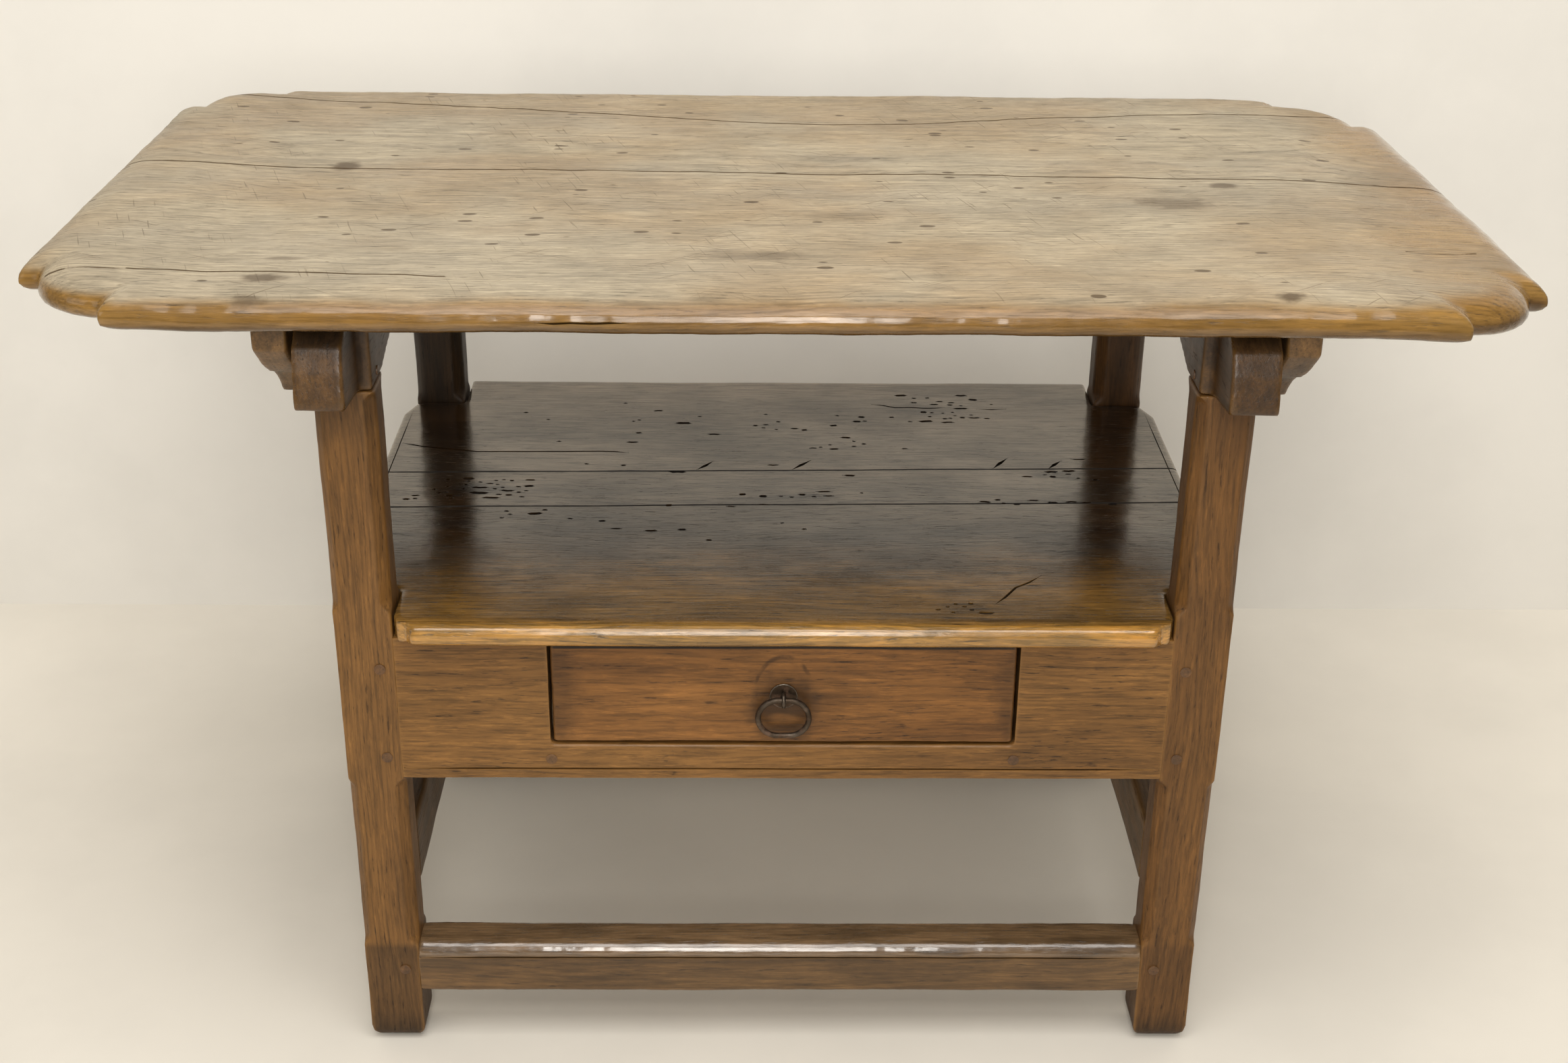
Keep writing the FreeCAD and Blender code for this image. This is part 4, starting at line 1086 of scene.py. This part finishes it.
def worm_pits(level):
    """Cutters for the pits that worm has eaten along the grain, scattered over the eaten places. None touches
    another, or a crack."""
    chance = random.Random(PIT_CHANCE)
    taken = []
    for line in crack_lines(SEAT_CRACKS + SEAT_SPLITS, level, CRACK_GUARD_STEP):
        taken += [(p.x, p.y, CRACK_GUARD) for p in line]
    cutters = []
    for middle_x, middle_y, along, across, count in SEAT_EATEN:
        for _ in range(count):
            x = middle_x + along * chance.uniform(-1, 1)
            y = middle_y + across * chance.uniform(-1, 1)
            half = PIT_SHORTEST + PIT_LONGER_BY * chance.random() ** PIT_MOSTLY_SHORT
            width = min(chance.uniform(*PIT_WIDTHS), PIT_WIDEST_SHARE * half)
            room_along = half + PIT_APART_ALONG
            if any(abs(x - other_x) < room_along + other_half and abs(y - other_y) < PIT_APART_ACROSS
                   for other_x, other_y, other_half in taken):
                continue
            path = line_at([(x + half * station, y + half * chance.uniform(-PIT_CROOK, PIT_CROOK))
                            for station in PIT_STATIONS], level)
            taken.append((x, y, half))
            cutters.append(slit(path, width, chance.uniform(*PIT_DEPTHS), UP))
    return cutters


def seat_quirks():
    """Cutters for the fine lines along the ears and behind the bead of the nose."""
    cutters = []
    for side in SIDES.values():
        x = side * (SEAT_SIDE - EAR_QUIRK_IN)
        line = line_at([(x, EAR_FRONT), (x, EAR_BACK - EAR_QUIRK_SHORT)], SEAT_TOP)
        cutters.append(slit(drawn_out(line, EAR_QUIRK_STEP), EAR_QUIRK_SHARE * QUIRK_WIDTH,
                            EAR_QUIRK_SHARE * QUIRK_DEPTH, UP))
    ends = [(-NOSE_END, SEAT_NOSE + NOSE_QUIRK), (NOSE_END, SEAT_NOSE + NOSE_QUIRK)]
    line = drawn_out(line_at(ends, SEAT_TOP - NOSE_STEP_DEPTH), NOSE_QUIRK_STEP)
    return cutters + [slit(line, NOSE_QUIRK_SHARE * QUIRK_WIDTH, QUIRK_DEPTH, UP)]


def seat_planks():
    slab = moulded_seat()
    cracks = cracks_at(SEAT_CRACKS, SEAT_TOP, SEAT_CRACK_WIDTH)
    splits = cracks_at(SEAT_SPLITS, SEAT_TOP, SEAT_SPLIT_WIDTH)
    carve_all(slab, cracks + splits + worm_pits(SEAT_TOP) + seat_quirks())
    front = copy_of(slab, "seat_plank_front")
    saw(front, *joint_plane(SEAT_FRONT_JOINT, -JOINT_GAP / 2), keep_front=True)
    back = copy_of(slab, "seat_plank_back")
    saw(back, *joint_plane(SEAT_BACK_JOINT, JOINT_GAP / 2), keep_front=False)
    middle = slab
    middle.name = "seat_plank_middle"
    saw(middle, *joint_plane(SEAT_FRONT_JOINT, JOINT_GAP / 2), keep_front=False)
    saw(middle, *joint_plane(SEAT_BACK_JOINT, -JOINT_GAP / 2), keep_front=True)
    joints = [SEAT_FRONT_JOINT, SEAT_BACK_JOINT]
    for plank, row in ((front, "front"), (middle, "middle"), (back, "back")):
        fit(plank, "frame", OAK_SEAT, "seat_" + row + "_plank", joints, SEAT_LEVEL)


# Posts and arms
def same(first, second):
    return abs(first - second) < CLOSE


def on_chamfer(a, b, face):
    """Whether an upright arris of a post lies on a face and runs from one chamfer stop to the next."""
    low, high = sorted((a.z, b.z))
    on_run = any(same(low, start) and same(high, end) for start, end in CHAMFER_RUNS)
    return on_run and same(abs(a.x), face) and same(abs(b.x), face)


def posts():
    for row, front, back, material in (("front", FRONT_FACE, POST_BACK, OAK_POST),
                                       ("back", BACK_POST_FRONT, BACK_FACE, OAK_BACK_POST)):
        for name, side in SIDES.items():
            inner, outer = sorted((side * POST_IN, side * POST_OUT))
            post = block("post_" + row + "_" + name, (inner, front, FLOOR), (outer, back, ARM_UNDER))
            for level in CHAMFER_RUNS[0] + CHAMFER_RUNS[1]:
                saw(post, UP * level, UP)
            for face, width in ((POST_IN, POST_CHAMFER), (POST_OUT, POST_OUTER_CHAMFER)):
                ease(post, lambda a, b: on_chamfer(a, b, face), width, 1)
            ease(post, lambda a, b: max(a.z, b.z) < FLOOR + CLOSE, FOOT_ROUND, 4)
            fit(age(post, "post"), "frame", material, row + "_post_" + name)


def arm_profile(low, high):
    """The arm seen from the side: its nose at the front, a flat top, a rounded rear end and an arch below."""
    points = [(low.y + y, low.z + z) for y, z in ARM_NOSE] + [(low.y + ARM_NOSE_TOP, high.z)]
    pivot_y, pivot_z = ARM_PIVOT
    swing = high.z - pivot_z
    turn = math.asin((BACK_FACE - pivot_y) / swing) / ARM_REAR_STEPS
    for i in range(ARM_REAR_STEPS + 1):
        points.append((pivot_y + swing * math.sin(turn * i), pivot_z + swing * math.cos(turn * i)))
    points.append((BACK_FACE, low.z))
    middle = (POST_BACK + BACK_POST_FRONT) / 2
    reach = (BACK_POST_FRONT - POST_BACK) / 2
    radius = (reach ** 2 + ARM_ARCH ** 2) / (2 * ARM_ARCH)
    for i in range(ARM_ARCH_STEPS + 1):
        y = BACK_POST_FRONT - 2 * reach * i / ARM_ARCH_STEPS
        points.append((y, low.z + ARM_ARCH - radius + math.sqrt(radius ** 2 - (y - middle) ** 2)))
    return points + [(FRONT_FACE, low.z)]


def arms():
    for name, side in SIDES.items():
        low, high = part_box("arm_" + name)
        outline = [Vector((low.x, y, z)) for y, z in arm_profile(low, high)]
        arm = traced("bench_arm_" + name, outline, Vector((high.x - low.x, 0, 0)))
        inner, outer = sorted((side * (POST_IN - PAST), side * (POST_OUT - ARM_NOSE_THINNED)))
        carve(arm, block("thinning", (inner, low.y - PAST, low.z - PAST),
                         (outer, FRONT_FACE - CLOSE, high.z + PAST)))
        fit(age(arm, "arm"), "frame", OAK_ARM, "arm_" + name)


# Rails, stretchers and the drawer's bearers
def rail_across(name, low, high):
    """A rail from post to post, let a little way into both."""
    end = POST_IN + RAIL_INTO_POST
    return block(name, (-end, low.y, low.z), (end, high.y, high.z))


def front_quirk(rail, face, level):
    """Cuts a fine groove along the front of a rail."""
    start, end = Vector((-POST_IN, face, level)), Vector((POST_IN, face, level))
    path = [start.lerp(end, i / QUIRK_PARTS) for i in range(QUIRK_PARTS + 1)]
    carve(rail, slit(path, QUIRK_WIDTH, QUIRK_DEPTH, TO_FRONT))


def plain_rails():
    rails = [("back_apron", "apron_back", OAK_RAIL), ("back_stretcher", "stretcher_back", OAK_STRETCHER)]
    rails += [("side_" + kind + "_" + name, kind + "_side_" + name, OAK_SIDE_RAIL)
              for kind in ("apron", "stretcher") for name in SIDES]
    for node, name, material in rails:
        low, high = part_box(node)
        if node.startswith("side"):
            low.y, high.y = POST_BACK - RAIL_INTO_POST, BACK_POST_FRONT + RAIL_INTO_POST
            rail = block(name, low, high)
        else:
            rail = rail_across(name, low, high)
        ease(rail, every_arris, RAIL_EASE, 2)
        fit(age(rail, "rail"), "frame", material, node)


def front_apron():
    low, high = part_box("front_apron")
    drawer_low, drawer_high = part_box("drawer_front")
    rail = rail_across("apron_front", low, high)
    opening_low = (drawer_low.x - DRAWER_SIDE_GAP, low.y - WELL_PAST, drawer_low.z - DRAWER_UNDER_GAP)
    opening_high = (drawer_high.x + DRAWER_SIDE_GAP, high.y + WELL_PAST, high.z + WELL_PAST)
    carve(rail, block("drawer_opening", opening_low, opening_high))
    age(rail, "apron")
    front_quirk(rail, low.y, low.z + APRON_BEAD)
    fit(rail, "frame", OAK_RAIL, "front_apron")


def front_stretcher():
    low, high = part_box("front_stretcher")
    rail = rail_across("stretcher_front", low, high)
    for y, z, width, segments in ((low.y, high.z, STRETCHER_ROUND, 6), (low.y, low.z, STRETCHER_EASE, 2),
                                  (high.y, high.z, STRETCHER_EASE, 2)):
        ease(rail, lambda *ends: all(same(end.y, y) and same(end.z, z) for end in ends), width, segments)
    age(rail, "stretcher")
    front_quirk(rail, low.y, high.z - STRETCHER_QUIRK)
    fit(rail, "frame", OAK_STRETCHER, "front_stretcher")


def drawer_bearers():
    for name in SIDES:
        for node, label in (("drawer_runner_", "runner_"), ("drawer_guide_", "guide_")):
            strip = block(label + name, *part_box(node + name))
            ease(strip, every_arris, BEARER_EASE, 2)
            fit(strip, "frame", OAK_BARE_ALONG, node + name)


# Drawer and ring pull
def drawer():
    face = block("drawer_face", *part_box("drawer_front"))
    ease(face, every_arris, RAIL_EASE, 2)
    age(face, "drawer")
    for node, material in (("drawer_side_left", OAK_BARE_ALONG), ("drawer_side_right", OAK_BARE_ALONG),
                           ("drawer_back", OAK_BARE_ACROSS), ("drawer_bottom", OAK_BARE_ACROSS)):
        board = cad_copy(node, node.replace("drawer_", "box_"))
        if node != "drawer_back":
            carve(face, copy_of(board, "socket"))
        break_arrises(board, BOARD_ARRIS)
        fit(board, "drawer", material, node)
    fit(face, "drawer", OAK_DRAWER, "drawer_front")


def ring_pull():
    low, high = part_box("ring_pull")
    wire = (high.y - low.y) / 2
    bend = (high.z - low.z) / 2 - wire
    spread = (high.x - low.x) / 2 - wire - bend
    bpy.ops.object.select_all(action='DESELECT')
    bpy.ops.mesh.primitive_torus_add(location=RING_PIVOT - UP * bend, rotation=(math.pi / 2, 0, 0),
                                     major_radius=bend, minor_radius=wire, major_segments=48,
                                     minor_segments=14)
    ring = started("ring")
    for side in SIDES.values():
        pick(ring, "FACE", lambda face: face.center.x * side > RING_MIDDLE)
        bpy.ops.transform.translate(value=(side * spread, 0, 0))
        done()
    fit(age(ring, "ring"), "ring", IRON, "ring_pull")


def ring_fittings():
    for node, name in (("ring_staple", "staple"), ("ring_rose", "rose")):
        fit(age(cad_copy(node, name), "fitting"), "drawer", IRON, node)


# Pegs, pins and nails
def pegs():
    for node in ("rail_pegs", "stretcher_pegs", "arm_pegs", "runner_pegs"):
        group = cad_copy(node, "oak_" + node)
        finish_with(group, 'DISPLACE', strength=PEG_PROUD, mid_level=0.0)
        break_arrises(group, PEG_ARRIS)
        fit(group, "frame", OAK_PEG, node)


def pivot_pins():
    for name in SIDES:
        node = "pivot_pin_" + name
        fit(age(cad_copy(node, "pivot_" + name), "pin"), "frame", OAK_PEG, node)


def nails():
    for node, body in (("seat_nails", "frame"), ("top_nails", "top"), ("drawer_nails", "drawer")):
        group = cad_copy(node, "iron_" + node)
        break_arrises(group, BOARD_ARRIS)
        if body in NAIL_SET:
            edit_all(group)
            bpy.ops.transform.translate(value=(0, 0, -NAIL_SET[body]))
            done()
        fit(group, body, IRON, node)


# Room: pale floor, pale wall, soft light and the camera
def room_paint(name, colour):
    """Cloudy paint that shows only from the room's side, so that the bench is seen from behind and below."""
    material, paint, shader, place = new_material(name)
    cloudy = paint.between(paint.noise(place, (2.5, 2.5, 2.5), 5.0, 0.6), 0.35, 0.7)
    paint.feed(shader.inputs, {"Base Color": paint.blended(cloudy, colour, scaled_tone(colour, 0.93)),
                               "Roughness": 0.7})
    behind = paint.put('ShaderNodeNewGeometry')["Backfacing"]
    clear = paint.put('ShaderNodeBsdfTransparent')[0]
    choice = paint.put('ShaderNodeMixShader', {0: behind, 1: shader.outputs[0], 2: clear})[0]
    paint.feed(paint.tree.nodes["Material Output"].inputs, {0: choice})
    return material


def room():
    bpy.ops.object.select_all(action='DESELECT')
    bpy.ops.mesh.primitive_plane_add(size=ROOM_SIZE, location=(0, 0, FLOOR))
    ground = bpy.context.object
    ground.name = "floor"
    ground.data.materials.append(room_paint("floor_paint", tone(0.80, 0.75, 0.66)))
    bpy.ops.mesh.primitive_plane_add(size=ROOM_SIZE, location=(0, WALL_BACK, ROOM_SIZE / 2),
                                     rotation=(math.pi / 2, 0, 0))
    wall = bpy.context.object
    wall.name = "wall"
    wall.data.materials.append(room_paint("wall_paint", tone(0.83, 0.80, 0.74)))


def lamp(name, colour, power, place, aim, width, height):
    bpy.ops.object.light_add(type='AREA', location=place)
    light = bpy.context.object
    light.name = name
    light.data.shape = 'RECTANGLE'
    light.data.size = width
    light.data.size_y = height
    light.data.energy = power
    light.data.color = colour
    light.rotation_mode = 'QUATERNION'
    light.rotation_quaternion = (Vector(aim) - Vector(place)).to_track_quat('-Z', 'Y')


def lights():
    soft_white = (1.0, 0.98, 0.95)
    warm_white = (1.0, 0.97, 0.92)
    lamp("key", warm_white, power=43.0, place=(-0.05, -2.6, 1.75), aim=(0, 0, 0.45), width=0.75, height=1.9)
    lamp("overhead", soft_white, power=69.0, place=(0.1, -0.9, 3.0), aim=(0.1, 0.1, 0), width=2.2, height=2.2)
    lamp("fill", soft_white, power=8.0, place=(-2.6, -1.9, 1.6), aim=(0, 0, 0.4), width=1.6, height=1.6)
    world = bpy.data.worlds.new("room_light")
    bpy.context.scene.world = world
    world.use_nodes = True
    sky = world.node_tree.nodes["Background"]
    sky.inputs["Color"].default_value = tone(*soft_white)
    sky.inputs["Strength"].default_value = 0.23


def camera():
    ahead = Vector((math.sin(CAMERA_YAW), math.cos(CAMERA_YAW), 0))
    right = Vector((math.cos(CAMERA_YAW), -math.sin(CAMERA_YAW), 0))
    look = ahead * math.cos(CAMERA_PITCH) - UP * math.sin(CAMERA_PITCH)
    down = -UP * math.cos(CAMERA_PITCH) - ahead * math.sin(CAMERA_PITCH)
    x_axis = right * math.cos(CAMERA_ROLL) + down * math.sin(CAMERA_ROLL)
    y_axis = right * math.sin(CAMERA_ROLL) - down * math.cos(CAMERA_ROLL)
    bpy.ops.object.camera_add()
    eye = bpy.context.object
    eye.name = "camera"
    turn = Matrix((x_axis, y_axis, -look)).transposed().to_4x4()
    eye.matrix_world = Matrix.Translation(CAMERA_PLACE) @ turn
    eye.data.sensor_fit = 'HORIZONTAL'
    eye.data.sensor_width = CAMERA_SENSOR
    eye.data.lens = CAMERA_LENS
    eye.data.dof.use_dof = False
    bpy.context.scene.camera = eye


top_planks()
battens()
seat_planks()
posts()
arms()
plain_rails()
front_apron()
front_stretcher()
drawer_bearers()
drawer()
ring_pull()
ring_fittings()
pegs()
pivot_pins()
nails()
room()
lights()
camera()
bpy.context.scene.view_settings.view_transform = 'Standard'
